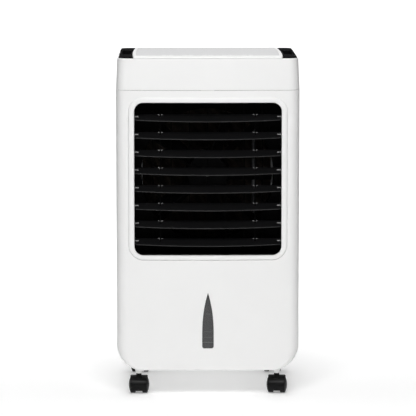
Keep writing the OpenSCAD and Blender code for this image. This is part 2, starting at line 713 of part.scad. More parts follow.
// One fan blade: a curved, pitched strip between the hub and the tip circle
fan_pitch = 58;
module fan_blade() intersection() {
    difference() {
        y_rod(fan_d / 2, 0, fan_y0 + 1, fan_y0 + fan_depth - 1, 0);
        y_rod(hub_d / 2 - 2, 0, fan_y0 - 1, fan_y0 + fan_depth + 1, 0);
    }
    translate([0, fan_y0 + fan_depth / 2, 0]) rotate([fan_pitch - 90, 0, 0])
        translate([0, 0, -70]) difference() {
            x_rod(71.3, hub_d / 2 - 3, fan_d / 2 + 2, 0, 0);
            x_rod(69, hub_d / 2 - 4, fan_d / 2 + 3, 0, 0);
            block(0, fan_d, -100, 100, -100, 30);
        }
}
module fan_impeller() color("lightgray") translate([0, 0, fan_zc]) {
    difference() {
        y_rod(hub_d / 2, 0, fan_y0, fan_y0 + fan_depth, 0);
        y_rod(hub_d / 2 - 3, 0, fan_y0 + 4, fan_y0 + fan_depth + 1, 0);
        y_rod(shaft_r + run_fit, 0, fan_y0 - 5, fan_y0 + fan_depth, 0);
    }
    difference() {
        y_rod(shaft_r + 5, 0, fan_y0 + 1, fan_y0 + fan_depth - 2, 0);
        y_rod(shaft_r + run_fit, 0, fan_y0 - 5, fan_y0 + fan_depth + 5, 0);
    }
    for (k = [0 : fan_blades - 1]) rotate([0, k * 360 / fan_blades, 0]) fan_blade();
}

// ---------- water ----------

module pad_frame() color("gainsboro") {
    difference() {
        block(-pad_half - pad_frame_t, pad_half + pad_frame_t, pad_y0 - pad_frame_t, pad_y1 + pad_frame_t,
            pad_frame_z0, pad_z1 - 4);
        block(-pad_half, pad_half, pad_y0, pad_y1, pad_frame_z0 + pad_frame_t, pad_z1 + 5);
        block(-pad_half + 8, pad_half - 8, pad_y0 - 10, pad_y1 + 10, pad_z0 + 10, pad_z1 + 5);
        for (x = [-1, 0, 1]) block(x * pad_half * 0.62 - pad_half * 0.24, x * pad_half * 0.62 + pad_half * 0.24,
            pad_yc - 6, pad_yc + 6, pad_frame_z0 - 5, pad_z0);
    }
    // Feet on the chassis deck
    for (s = [-1, 1]) block(s * (pad_half - 5) - 3, s * (pad_half - 5) + 3, pad_y0, pad_y1, deck_z1,
        pad_frame_z0 + 1);
}

module cooling_pad() color("saddlebrown")
    block(-pad_half + gap, pad_half - gap, pad_y0 + gap, pad_y1 - gap, pad_z0, pad_z1);

trough_z0 = pad_z1 + gap;
module water_distributor() color("gainsboro") difference() {
    union() {
        block(-pad_half - pad_frame_t, pad_half + pad_frame_t, pad_y0 - pad_frame_t, pad_y1 + pad_frame_t,
            trough_z0, trough_z0 + trough_h);
        y_rod(hose_r - hose_t - 0.05, pump_x, pad_y0 - pad_frame_t - 7, pad_y0 - 1, trough_z0 + 11);
    }
    block(-pad_half, pad_half, pad_y0, pad_y1, trough_z0 + pad_frame_t, trough_z0 + trough_h + 5);
    for (i = [0 : 12]) z_rod(1.6, (i / 6 - 1) * (pad_half - 16), pad_yc, trough_z0 - 5, trough_z0 + 5);
    y_rod(hose_r - hose_t - 1.2, pump_x, pad_y0 - 20, pad_y0 + 2, trough_z0 + 11);
}

// Submersible pump, hung from the chassis deck on a flat strap
module pump() color([0.12, 0.12, 0.13]) {
    z_rod(pump_r, pump_x, pump_y, pump_z0, pump_z0 + pump_h - 10);
    z_rod(pump_r - 5, pump_x, pump_y, pump_z0 + pump_h - 11, pump_z0 + pump_h);
    z_rod(hose_r - hose_t - 0.05, pump_x, pump_y, pump_z0 + pump_h - 1, pump_z0 + pump_h + 12);
    block(pump_x - pump_r - 2, pump_x - pump_r + 1, pump_y - hanger_w / 2, pump_y + hanger_w / 2, pump_z0 + 10,
        deck_z0);
    block(pump_x - pump_r - 16, pump_x - pump_r + 1, pump_y - hanger_w / 2, pump_y + hanger_w / 2,
        deck_z0 - 2, deck_z0);
}

// Hose from the pump's spigot up through the chassis deck and into the front of the trough
hose_bend = 10;
module hose_2d() difference() { circle(r = hose_r); circle(r = hose_r - hose_t); }
module pump_hose() color([0.75, 0.78, 0.8]) {
    z1 = trough_z0 + 11;
    translate([pump_x, pump_y, pump_z0 + pump_h + gap])
        linear_extrude(z1 - hose_bend - pump_z0 - pump_h - gap) hose_2d();
    translate([pump_x, pump_y + hose_bend, z1 - hose_bend]) rotate([90, 0, -90])
        rotate_extrude(angle = 90) translate([hose_bend, 0]) hose_2d();
    translate([pump_x, pad_y0 - pad_frame_t - gap, z1]) rotate([90, 0, 0])
        linear_extrude(pad_y0 - pad_frame_t - gap - pump_y - hose_bend) hose_2d();
}

// Tank: an open tub with the drawer's face at the rear
module water_tank() color("aliceblue") difference() {
    union() {
        difference() {
            y_prism(tank_y0, tank_y1 - 1) bay_2d(tank_half, tank_z0, tank_z1, bay_r - 2);
            y_prism(tank_y0 + tank_t, tank_y1 - panel_t) bay_2d(tank_half - tank_t, tank_z0 + tank_t, tank_z1 + 5,
                bay_r - 2 - tank_t);
        }
        y_prism(tank_y1 - panel_t, tank_y1) bay_2d(bay_half - gap, bay_z0 + gap, bay_z1 - gap, bay_r - gap);
        block(-pull_l / 2 - 2, pull_l / 2 + 2, tank_y1 - pull_d - 2, tank_y1 - 1, tank_z1 - pull_h - 26,
            tank_z1 - 22);
        y_rod(plug_r + 3, plug_x, tank_y1 - 10, tank_y1 - 1, plug_z);
    }
    block(-pull_l / 2, pull_l / 2, tank_y1 - pull_d, tank_y1 + 5, tank_z1 - pull_h - 24, tank_z1 - 24);
    y_rod(plug_r + run_fit, plug_x, tank_y1 - 20, tank_y1 + 5, plug_z);
}

module drain_plug() color([0.08, 0.08, 0.08]) {
    y_rod(plug_r, plug_x, tank_y1 - 11, tank_y1 + 1, plug_z);
    y_rod(plug_r + 3, plug_x, tank_y1 + gap, tank_y1 + latch_proud - 0.2, plug_z);
}

// Turn button that locks the tank and the grille
module tank_latch() color([0.08, 0.08, 0.08]) {
    y_rod(3, 0, y_back - wall - 4, y_back + 1, latch_z);
    y_rod(5, 0, y_back - wall - 4, y_back - wall - gap, latch_z);
    y_prism(y_back + gap, y_back + latch_proud)
        rounded_2d(-latch_half, latch_half, latch_z - latch_w / 2, latch_z + latch_w / 2, latch_w / 2 - 0.01);
}

// Pull-off intake grille with its filter behind it
slot_h = 6;
slot_pitch = 11;
slot_columns = 3;
module rear_grille() color("whitesmoke") {
    z0 = intake_z0 + gap;
    z1 = intake_z1 - gap;
    half = bay_half - gap;
    rows = floor((z1 - z0 - 24) / slot_pitch);
    column = (2 * half - 30) / slot_columns;
    difference() {
        y_prism(y_back - panel_t, y_back) rounded_2d(-half, half, z0, z1, 6 - gap);
        for (c = [0 : slot_columns - 1], r = [0 : rows - 1])
            translate([-half + 15 + c * column + 4, y_back - 10,
                (z0 + z1) / 2 + (r - rows / 2) * slot_pitch + (slot_pitch - slot_h) / 2])
                cube([column - 8, 20, slot_h]);
    }
    // Skirt that guides the grille into its rim and holds the filter
    y_prism(y_back - 12, y_back - panel_t + 0.5) difference() {
        rounded_2d(-half, half, z0, z1, 6 - gap);
        rounded_2d(-half + 2, half - 2, z0 + 2, z1 - 2, 4 - gap);
    }
}

module dust_filter() color([0.2, 0.22, 0.24])
    y_prism(y_back - 8, y_back - 8 + filter_t) rounded_2d(-bay_half + 2 + 2 * gap, bay_half - 2 - 2 * gap,
        intake_z0 + 2 + 2 * gap, intake_z1 - 2 - 2 * gap, 3);

// ---------- controls ----------

module control_board() color("darkgreen") {
    block(-button_pitch * 2.7, button_pitch * 2.7, button_y - 20, button_y + 26, board_z1 - board_t, board_z1);
    for (i = [0 : button_count - 1]) {
        block(button_x(i) - 3, button_x(i) + 3, button_y - 3, button_y + 3, board_z1 - 0.5, board_z1 + switch_h);
        z_rod(led_r, button_x(i), button_y + 14, board_z1 - 0.5, body_h - film_t - 0.5);
    }
    // Posts up to the underside of the deck skin
    for (x = [-2.58, 2.58]) z_rod(3, x * button_pitch, button_y, board_z1 - 0.5, body_h - skin_t - gap);
}

// ---------- casters ----------

module caster_frame(i) translate([caster_at(i)[0], caster_at(i)[1], 0]) rotate([0, 0, caster_turn[i]]) children();

module caster_housing(i) color([0.07, 0.07, 0.07]) caster_frame(i)
    difference() {
        union() {
            // Hood over the wheels, from low in front over the top
            difference() {
                x_rod(hood_out, -hood_half, hood_half, trail, wheel_r);
                x_rod(hood_in, -hood_half - 1, hood_half + 1, trail, wheel_r);
                x_prism(-hood_half - 1, hood_half + 1) polygon([[trail, wheel_r], [trail - 40, wheel_r - 29],
                    [trail - 40, -40], [trail + 60, -40], [trail + 60, wheel_r + 22]]);
            }
            // Web between the wheels
            difference() {
                x_rod(hood_in + 0.5, -fork_w / 2 + 0.5, fork_w / 2 - 0.5, trail, wheel_r);
                block(-20, 20, -40, 60, -10, notch_z);
            }
            z_rod(neck_r, 0, 0, wheel_r + hood_in - 4, neck_top);
            x_rod(axle_r, -fork_w / 2 - tread_w + 1, fork_w / 2 + tread_w - 1, trail, wheel_r);
        }
        z_rod(stem_r + run_fit, 0, 0, neck_top - 19, neck_top + 5);
    }

// Wheel profile from the axle out: flat inner face, tread with eased edges, domed outer face
tread_edge = 0.9;
dome_r = (wheel_r * wheel_r + wheel_dome * wheel_dome) / (2 * wheel_dome);
function wheel_profile() = let (x0 = fork_w / 2, x1 = fork_w / 2 + tread_w) concat(
    [[axle_r + run_fit, x0], [wheel_r - tread_edge, x0], [wheel_r, x0 + tread_edge], [wheel_r, x1 - 0.5]],
    [for (k = [8 : -1 : 0]) let (r = (wheel_r - 0.6) * k / 8)
        [r, x1 + wheel_dome - dome_r + sqrt(dome_r * dome_r - r * r)]],
    [[0, x1 - 0.4], [axle_r + run_fit, x1 - 0.4]]);
module caster_wheel() rotate([0, 90, 0]) rotate_extrude() polygon(wheel_profile());
module caster_wheels(i) color([0.06, 0.06, 0.06]) caster_frame(i) translate([0, trail, wheel_r]) {
    caster_wheel();
    mirror([1, 0, 0]) caster_wheel();
}

module caster_stems() color("silver") for (i = [0 : 3])
    z_rod(stem_r, caster_at(i)[0], caster_at(i)[1], neck_top - 18.5, socket_top - 2.3);

// ---------- nodes ----------

front_panel();
louvre_bezel();
louvre_frame();
top_cover();
control_deck();
control_film();
top_side_trims();
rear_shell();
base_tray();
chassis_deck();
level_window();
fan_shroud();
fan_motor();
fan_shaft();
fan_impeller();
swing_motor();
pad_frame();
cooling_pad();
water_distributor();
pump();
pump_hose();
control_board();
cord_gland();
casing_screws();
caster_stems();
rear_grille();
dust_filter();
water_tank();
drain_plug();
tank_latch();
louvre_tie_bars();
swing_link_bar();
for (i = [1 : blade_count]) louvre_blade(i);
for (i = [1 : vane_count]) swing_vane(i);
for (i = [0 : button_count - 1]) push_button(i);
for (i = [0 : 3]) caster_housing(i);
for (i = [0 : 3]) caster_wheels(i);
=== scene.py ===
"""Looks of a portable evaporative cooler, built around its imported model.

Lengths are in millimetres until a mesh is made. +Z is up and the air leaves towards -Y.
"""

import json
import logging
import math
from dataclasses import dataclass, field
from enum import Enum
from typing import Callable, Iterable, Sequence

import bmesh
import bpy
from mathutils import Matrix, Vector
from mathutils.geometry import delaunay_2d_cdt


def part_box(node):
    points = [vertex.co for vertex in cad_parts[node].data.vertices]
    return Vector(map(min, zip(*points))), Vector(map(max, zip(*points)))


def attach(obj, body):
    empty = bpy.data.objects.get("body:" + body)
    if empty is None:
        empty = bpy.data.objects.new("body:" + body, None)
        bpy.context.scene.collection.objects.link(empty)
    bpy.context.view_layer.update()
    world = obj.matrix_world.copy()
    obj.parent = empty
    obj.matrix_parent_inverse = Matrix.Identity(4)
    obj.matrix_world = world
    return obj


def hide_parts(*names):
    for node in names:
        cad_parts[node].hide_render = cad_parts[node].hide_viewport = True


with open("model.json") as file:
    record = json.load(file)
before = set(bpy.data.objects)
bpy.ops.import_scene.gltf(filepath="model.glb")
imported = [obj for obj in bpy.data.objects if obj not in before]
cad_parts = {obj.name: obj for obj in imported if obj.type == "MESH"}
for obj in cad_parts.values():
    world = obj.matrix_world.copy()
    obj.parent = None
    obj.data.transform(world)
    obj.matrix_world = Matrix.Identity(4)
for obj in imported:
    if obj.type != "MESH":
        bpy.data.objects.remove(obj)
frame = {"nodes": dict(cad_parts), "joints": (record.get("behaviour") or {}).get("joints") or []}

logging.basicConfig(level=logging.INFO, format="%(message)s")
log = logging.getLogger("cooler")

MM = 0.001
SHARP = 38.0  # degrees above which an edge counts as sharp
SWEEP = 9  # degrees between the lines of a rounded shell edge
EASE = 0.5  # radius of a shell's eased edges
FILM_SEAT = 0.7  # depth of the film's seat in the deck
LAMP_RISE, SIGN_DROP = 14.0, 13.0  # lamps behind the keys, signs in front of them
BORDER, FOOT = 12.0, 9.5  # width of the outlet's ring, and below the opening
SENSOR = 36.0  # camera's film width
CORNERS = ("fl", "fr", "rl", "rr")
Flat = tuple[float, float]
Point = tuple[float, float, float]
Colour = tuple[float, float, float]


class Axis(Enum):
    """Row axes, as places in a point."""

    X = 0
    Y = 1
    Z = 2


class Side(Enum):
    """Left and right as seen from the front."""

    LEFT = -1
    RIGHT = 1


# ---------------------------------------------------------------- finishes


@dataclass
class Tree:
    """A material's node tree under construction."""

    material: bpy.types.Material

    @classmethod
    def named(cls, name: str) -> "Tree":
        """Starts an empty material with a Principled shader."""
        material = bpy.data.materials.new(name)
        material.use_nodes = True
        return cls(material)

    @property
    def shader(self) -> bpy.types.Node:
        """The material's Principled shader."""
        return self.material.node_tree.nodes["Principled BSDF"]

    def add(self, kind: str, inputs: dict | None = None, **settings: object) -> bpy.types.Node:
        """Adds a node.

        Args:
            kind: The node's type name.
            inputs: Socket values by socket name.
            settings: Attributes of the node.

        Returns:
            The new node.
        """
        node = self.material.node_tree.nodes.new(kind)
        for key, value in settings.items():
            setattr(node, key, value)
        for key, value in (inputs or {}).items():
            node.inputs[key].default_value = value
        return node

    def join(self, source: bpy.types.NodeSocket, target: bpy.types.NodeSocket) -> None:
        """Links one socket to another."""
        self.material.node_tree.links.new(source, target)

    def feed(self, socket: str, source: bpy.types.NodeSocket) -> None:
        """Links a node to one of the shader's sockets."""
        self.join(source, self.shader.inputs[socket])

    def fix(self, socket: str, value: float | tuple[float, ...]) -> None:
        """Sets one of the shader's sockets to a constant."""
        self.shader.inputs[socket].default_value = value

    def math(self, operation: str, *terms: bpy.types.NodeSocket | float) -> bpy.types.NodeSocket:
        """Works out a sum, a product or a function of sockets and constants."""
        node = self.add("ShaderNodeMath", operation=operation)
        for place, term in enumerate(terms):
            if isinstance(term, bpy.types.NodeSocket):
                self.join(term, node.inputs[place])
            else:
                node.inputs[place].default_value = term
        return node.outputs[0]

    def place(self, stretch: Point = (1, 1, 1)) -> bpy.types.NodeSocket:
        """Object coordinates, stretched along the axes."""
        coords = self.add("ShaderNodeTexCoord")
        mapping = self.add("ShaderNodeMapping", {"Scale": stretch})
        self.join(coords.outputs["Object"], mapping.inputs["Vector"])
        return mapping.outputs["Vector"]

    def noise(self, size: float, detail: float = 3.0, stretch: Point = (1, 1, 1)) -> bpy.types.NodeSocket:
        """Noise whose cells are about size millimetres."""
        node = self.add("ShaderNodeTexNoise", {"Scale": 1 / (size * MM), "Detail": detail})
        self.join(self.place(stretch), node.inputs["Vector"])
        return node.outputs["Fac"]

    def spread(self, source: bpy.types.NodeSocket, low: float, high: float) -> bpy.types.NodeSocket:
        """Maps a noise's middle range to low and high."""
        node = self.add("ShaderNodeMapRange", {"From Min": 0.3, "From Max": 0.7,
                                               "To Min": low, "To Max": high})
        self.join(source, node.inputs["Value"])
        return node.outputs["Result"]

    def tint(self, source: bpy.types.NodeSocket, low: Colour, high: Colour) -> bpy.types.NodeSocket:
        """Blends two colours by a factor."""
        node = self.add("ShaderNodeMix", data_type="RGBA")
        node.inputs["A"].default_value = (*low, 1)
        node.inputs["B"].default_value = (*high, 1)
        self.join(source, node.inputs["Factor"])
        return node.outputs["Result"]

    def bump(self, source: bpy.types.NodeSocket, depth: float, strength: float = 1.0) -> None:
        """Presses a height of depth millimetres into the surface."""
        node = self.add("ShaderNodeBump", {"Strength": strength, "Distance": depth * MM})
        self.join(source, node.inputs["Height"])
        previous = self.shader.inputs["Normal"]
        if previous.is_linked:
            self.join(previous.links[0].from_socket, node.inputs["Normal"])
        self.join(node.outputs["Normal"], previous)

    def grid(self, pitch: float, plane: tuple[Axis, Axis], sharp: float = 0.5) -> bpy.types.NodeSocket:
        """A grid of round bumps in one plane.

        Args:
            pitch: Distance between bumps in millimetres.
            plane: The two axes that the grid runs along.
            sharp: How much of the wave's height is cut away.

        Returns:
            A height from 0 to 1.
        """
        split = self.add("ShaderNodeSeparateXYZ")
        self.join(self.place(), split.inputs[0])
        turns = 2 * math.pi / (pitch * MM)
        waves = [self.math("SINE", self.math("MULTIPLY", split.outputs[axis.value], turns)) for axis in plane]
        ranged = self.add("ShaderNodeMapRange", {"From Min": -2 + 4 * sharp, "From Max": 2})
        self.join(self.math("ADD", *waves), ranged.inputs["Value"])
        return ranged.outputs["Result"]


@dataclass(frozen=True)
class Finish:
    """A surface: its name, the record's slot it stands for, colour and gloss."""

    name: str
    slot: str
    colour: Colour
    roughness: float

    def material(self) -> bpy.types.Material:
        """The finish's material, made once."""
        known = bpy.data.materials.get(self.name)
        if known:
            return known
        tree = Tree.named(self.name)
        tree.fix("Roughness", self.roughness)
        tree.fix("Base Color", (*self.colour, 1))
        tree.material.diffuse_color = (*self.colour, 1)
        self.dress(tree)
        return tree.material

    def dress(self, tree: Tree) -> None:
        """Adds the finish's own detail."""
        raise NotImplementedError


@dataclass(frozen=True)
class Moulded(Finish):
    """Injection-moulded plastic with fine grain, faint flow mottle and uneven gloss."""

    grain: float = 0.6
    depth: float = 0.02
    mottle: float = 0.03
    shine: float = 0.5
    coat: float = 0.0

    def dress(self, tree: Tree) -> None:
        """Adds mottle, gloss variation, grain and a slow surface waviness."""
        darker = tuple(c * (1 - self.mottle) for c in self.colour)
        tree.feed("Base Color", tree.tint(tree.spread(tree.noise(70), 0, 1), darker, self.colour))
        rough = tree.spread(tree.noise(9, 4), self.roughness * 0.9, min(1.0, self.roughness * 1.12))
        tree.feed("Roughness", rough)
        tree.bump(tree.noise(self.grain, 2), self.depth, 0.6)
        tree.bump(tree.noise(60, 1), 0.03, 0.5)
        tree.fix("Specular IOR Level", self.shine)
        if self.coat:
            tree.fix("Coat Weight", self.coat)
            tree.fix("Coat Roughness", 0.08)


@dataclass(frozen=True)
class GridGrain(Finish):
    """Black plastic embossed with a fine square grain."""

    pitch: float = 2.4
    shine: float = 0.02

    def dress(self, tree: Tree) -> None:
        """Embosses the grain and paints a highlight on its tops."""
        height = tree.grid(self.pitch, (Axis.X, Axis.Y))
        # Painted highlight: the grain's tops are lighter than its hollows.
        top_highlight = tuple(c * 2 + 0.003 for c in self.colour)
        tree.feed("Base Color", tree.tint(height, self.colour, top_highlight))
        tree.bump(height, 0.25, 0.9)
        tree.bump(tree.noise(0.5, 2), 0.02, 0.5)
        tree.fix("Specular IOR Level", self.shine)


@dataclass(frozen=True)
class Steel(Finish):
    """Zinc-plated or brushed steel with drawn lines."""

    stretch: Point = (1, 40, 40)

    def dress(self, tree: Tree) -> None:
        """Adds drawn lines to the gloss and the surface."""
        tree.fix("Metallic", 1.0)
        lines = tree.noise(14, 4, self.stretch)
        tree.feed("Roughness", tree.spread(lines, self.roughness * 0.8, self.roughness * 1.3))
        tree.bump(lines, 0.01, 0.4)


@dataclass(frozen=True)
class CellPad(Finish):
    """Corrugated cellulose, glued in slanting flutes."""

    flute: float = 7.0

    def dress(self, tree: Tree) -> None:
        """Adds slanting flutes with painted shade in their troughs, and fibre."""
        flutes = tree.add("ShaderNodeTexWave", {"Scale": 1 / (self.flute * MM) / 6.3,
                                                "Distortion": 1.6, "Detail": 2.0})
        tree.join(tree.place((1, 1, 0.6)), flutes.inputs["Vector"])
        flutes.bands_direction = "DIAGONAL"
        # Painted shade: the flutes' troughs are darker.
        deep = tuple(c * 0.35 for c in self.colour)
        tree.feed("Base Color", tree.tint(flutes.outputs["Fac"], deep, self.colour))
        tree.bump(flutes.outputs["Fac"], 3.0, 1.0)
        tree.bump(tree.noise(1.2, 5), 0.3, 0.7)


@dataclass(frozen=True)
class Weave(Finish):
    """A woven mesh of round threads."""

    pitch: float = 3.0

    def dress(self, tree: Tree) -> None:
        """Adds the threads of the mesh, with painted shade between them."""
        height = tree.grid(self.pitch, (Axis.X, Axis.Z), 0.35)
        # Painted shade: the gaps between the threads are darker.
        dark = tuple(c * 0.25 for c in self.colour)
        tree.feed("Base Color", tree.tint(height, dark, self.colour))
        tree.bump(height, 0.6, 1.0)


@dataclass(frozen=True)
class Smoked(Finish):
    """Smoked clear plastic."""

    clear: float = 0.55

    def dress(self, tree: Tree) -> None:
        """Lets some light through and adds a faint waviness."""
        tree.fix("Transmission Weight", self.clear)
        tree.fix("IOR", 1.49)
        tree.feed("Roughness", tree.spread(tree.noise(8, 3), self.roughness * 0.8, self.roughness * 1.3))
        tree.bump(tree.noise(30, 1), 0.03, 0.4)


@dataclass(frozen=True)
class Board(Finish):
    """Green circuit board with copper tracks under lacquer."""

    def dress(self, tree: Tree) -> None:
        """Adds tracks as squared-off cells."""
        cells = tree.add("ShaderNodeTexBrick", {"Scale": 160.0, "Mortar Size": 0.03})
        tree.join(tree.place(), cells.inputs["Vector"])
        cells.inputs["Color1"].default_value = (*self.colour, 1)
        cells.inputs["Color2"].default_value = (*(c * 1.5 for c in self.colour), 1)
        cells.inputs["Mortar"].default_value = (*(c * 0.5 for c in self.colour), 1)
        tree.feed("Base Color", cells.outputs["Color"])
        tree.bump(cells.outputs["Fac"], 0.05, 0.5)


@dataclass(frozen=True)
class Ground(Finish):
    """Pale seamless studio paper that glows more and more towards the far end.

    The glow goes from near to far between start and stop along Y. Beside an aisle, aisle + widen * Y to
    either side of the middle, it drops to a share of aside over the width of fade.
    """

    near: float = 0.27
    far: float = 1.0
    start: float = -100.0
    stop: float = 1300.0
    aisle: float = 480.0
    widen: float = 0.08
    fade: float = 400.0
    aside: float = 0.1

    def dress(self, tree: Tree) -> None:
        """Adds paper grain and the glow."""
        tree.bump(tree.noise(4, 3), 0.02, 0.3)
        split = tree.add("ShaderNodeSeparateXYZ")
        tree.join(tree.place(), split.inputs[0])
        glow = tree.add("ShaderNodeMapRange", {"From Min": self.start * MM, "From Max": self.stop * MM,
                                               "To Min": self.near, "To Max": self.far})
        glow.interpolation_type = "SMOOTHSTEP"
        tree.join(split.outputs["Y"], glow.inputs["Value"])
        across = tree.math("ABSOLUTE", split.outputs["X"])
        aisle = tree.math("MULTIPLY_ADD", split.outputs["Y"], -self.widen, -self.aisle * MM)
        fade = tree.add("ShaderNodeMapRange", {"From Min": 0.0, "From Max": self.fade * MM,
                                               "To Min": 1.0, "To Max": self.aside})
        fade.interpolation_type = "SMOOTHSTEP"
        tree.join(tree.math("ADD", across, aisle), fade.inputs["Value"])
        tree.feed("Emission Strength", tree.math("MULTIPLY", glow.outputs["Result"], fade.outputs["Result"]))
        tree.fix("Emission Color", (1, 1, 1, 1))


WHITE = Moulded("white_shell", "white_plastic", (0.86, 0.86, 0.855), 0.4, 0.9, 0.01, 0.012, 0.2)
WHITE_INNER = Moulded("white_mechanism", "grey_plastic", (0.6, 0.61, 0.62), 0.5)
BLACK = Moulded("black_louvre", "black_plastic", (0.0075, 0.0075, 0.008), 0.36, 0.5, 0.02, 0.2, 0.3)
# A darker, duller copy of the louvres' black, for the parts inside the outlet: painted shade.
DARK = Moulded("duct_black_painted_shade", "black_plastic", (0.0045, 0.0045, 0.0047), 0.85, 0.7, 0.03, 0.2, 0.04)
TRIM = GridGrain("grained_trim", "trim_plastic", (0.0035, 0.0035, 0.0038), 0.8)
FILM = Moulded("control_film", "film", (0.57, 0.57, 0.575), 0.34, 0.35, 0.006, 0.02, 0.4)
KEY = Moulded("key_cap", "button_plastic", (0.8, 0.8, 0.8), 0.3, 0.5, 0.01, 0.02)
MARK = Moulded("printed_mark", "film", (0.06, 0.065, 0.07), 0.45, 0.3, 0.005, 0.1)
LAMP = Moulded("lamp_lens", "film", (0.3, 0.5, 0.34), 0.2, 0.3, 0.005, 0.05)
# PIN and LUG are light grey on parts that are black plastic: painted glints at the blade ends and at the tie
# bars.
PIN = Moulded("pin_painted_glint", "black_plastic", (0.2, 0.2, 0.2), 0.3, 0.4, 0.01, 0.05)
LUG = Moulded("lug_painted_glint", "black_plastic", (0.42, 0.42, 0.42), 0.35, 0.4, 0.01, 0.05)
SMOKE = Smoked("smoked_window", "smoked_plastic", (0.1, 0.1, 0.103), 0.06)
GAUGE = Moulded("gauge_back", "smoked_plastic", (0.07, 0.07, 0.073), 0.5, 0.6, 0.02, 0.1)
# Light stripes behind the window; the lowest one is a painted highlight near the window's foot.
GAUGE_STRIPE_AND_HIGHLIGHT = Moulded("gauge_stripe_and_highlight", "smoked_plastic", (0.5, 0.5, 0.5), 0.4, 0.4, 0.01, 0.05)
CASTER = Moulded("caster_nylon", "caster_plastic", (0.006, 0.006, 0.0063), 0.36, 0.5, 0.02, 0.2, 0.12)
WHEEL = Moulded("wheel_nylon", "wheel_plastic", (0.006, 0.006, 0.0063), 0.3, 0.6, 0.02, 0.2, 0.12)
RUBBER = Moulded("soft_rubber", "rubber_black", (0.02, 0.02, 0.02), 0.75, 0.3, 0.03, 0.2)
TANK = Moulded("tank_shell", "tank_plastic", (0.8, 0.81, 0.82), 0.36, 0.8, 0.012, 0.02)
# Fan darker than the louvres' black: painted shade inside the outlet.
FAN = Moulded("fan_moulding", "fan_plastic", (0.0045, 0.0045, 0.005), 0.6, 0.8, 0.02, 0.1, 0.08)
HOSE = Moulded("soft_hose", "hose_plastic", (0.12, 0.124, 0.128), 0.25, 1.0, 0.02, 0.05)
PAD = CellPad("wet_pad", "pad_paper", (0.035, 0.026, 0.018), 0.9)
MESH = Weave("filter_weave", "filter_mesh", (0.12, 0.13, 0.14), 0.7)
ZINC = Steel("zinc_steel", "steel", (0.7, 0.7, 0.7), 0.32)
# Motor near black: painted shade deep inside the outlet.
MOTOR = Moulded("motor_painted_shade", "motor_metal", (0.01, 0.01, 0.011), 0.5, 1.2, 0.04, 0.1, 0.15)
BOARD = Board("green_board", "board", (0.02, 0.12, 0.045), 0.35)
PAPER = Ground("studio_paper", "", (0.9, 0.9, 0.9), 0.95)


# ---------------------------------------------------------------- outlines


def arc(centre: Flat, radius: float, start: float, stop: float, steps: int) -> list[Flat]:
    """Points along an arc, both ends included.

    Args:
        centre: The arc's centre.
        radius: The arc's radius.
        start: First angle in degrees.
        stop: Last angle in degrees.
        steps: Number of steps between the ends.

    Returns:
        steps + 1 points.
    """
    angles = [math.radians(start + (stop - start) * i / steps) for i in range(steps + 1)]
    return [(centre[0] + radius * math.cos(a), centre[1] + radius * math.sin(a)) for a in angles]


def run(first: Flat, last: Flat, steps: int) -> list[Flat]:
    """Points strictly between two points."""
    return [(first[0] + (last[0] - first[0]) * i / steps, first[1] + (last[1] - first[1]) * i / steps)
            for i in range(1, steps)]


def rounded_box(x0: float, x1: float, z0: float, z1: float, radius: float, corner: int = 10,
                side: int = 12) -> list[Flat]:
    """Closed outline of a rectangle with round corners, anticlockwise from the low right corner.

    Args:
        x0: Left side.
        x1: Right side.
        z0: Low side.
        z1: High side.
        radius: Corner radius.
        corner: Steps in each corner.
        side: Steps along each side.

    Returns:
        The outline's points.
    """
    corners = [((x1 - radius, z0 + radius), -90), ((x1 - radius, z1 - radius), 0),
               ((x0 + radius, z1 - radius), 90), ((x0 + radius, z0 + radius), 180)]
    arcs = [arc(c, radius, a, a + 90, corner) for c, a in corners]
    points: list[Flat] = []
    for k, curve in enumerate(arcs):
        points += curve + run(curve[-1], arcs[(k + 1) % 4][0], side)
    return points


def at(z: float, outline: Sequence[Flat]) -> list[Point]:
    """A plan outline at a height."""
    return [(x, y, z) for x, y in outline]


def inset(outline: Sequence[Flat], distance: float) -> list[Flat]:
    """Moves an anticlockwise closed outline inwards by a distance, along its own normals."""
    count = len(outline)
    moved = []
    for i, (x, y) in enumerate(outline):
        before, after = Vector(outline[i - 1]), Vector(outline[(i + 1) % count])
        a, b = Vector((x, y)) - before, after - Vector((x, y))
        normals = [Vector((-v.y, v.x)).normalized() for v in (a, b) if v.length > 1e-9]
        middle = sum(normals, Vector((0, 0))).normalized()
        stretch = 1 / max(0.5, middle.dot(normals[0]))
        moved.append((x + middle.x * distance * stretch, y + middle.y * distance * stretch))
    return moved


def inside(point: Flat, outline: Sequence[Flat]) -> bool:
    """Whether a point lies inside a closed outline."""
    x, y = point
    found = False
    for (ax, ay), (bx, by) in zip(outline, list(outline[1:]) + [outline[0]]):
        if (ay > y) != (by > y) and x < ax + (y - ay) * (bx - ax) / (by - ay):
            found = not found
    return found


# ---------------------------------------------------------------- meshes


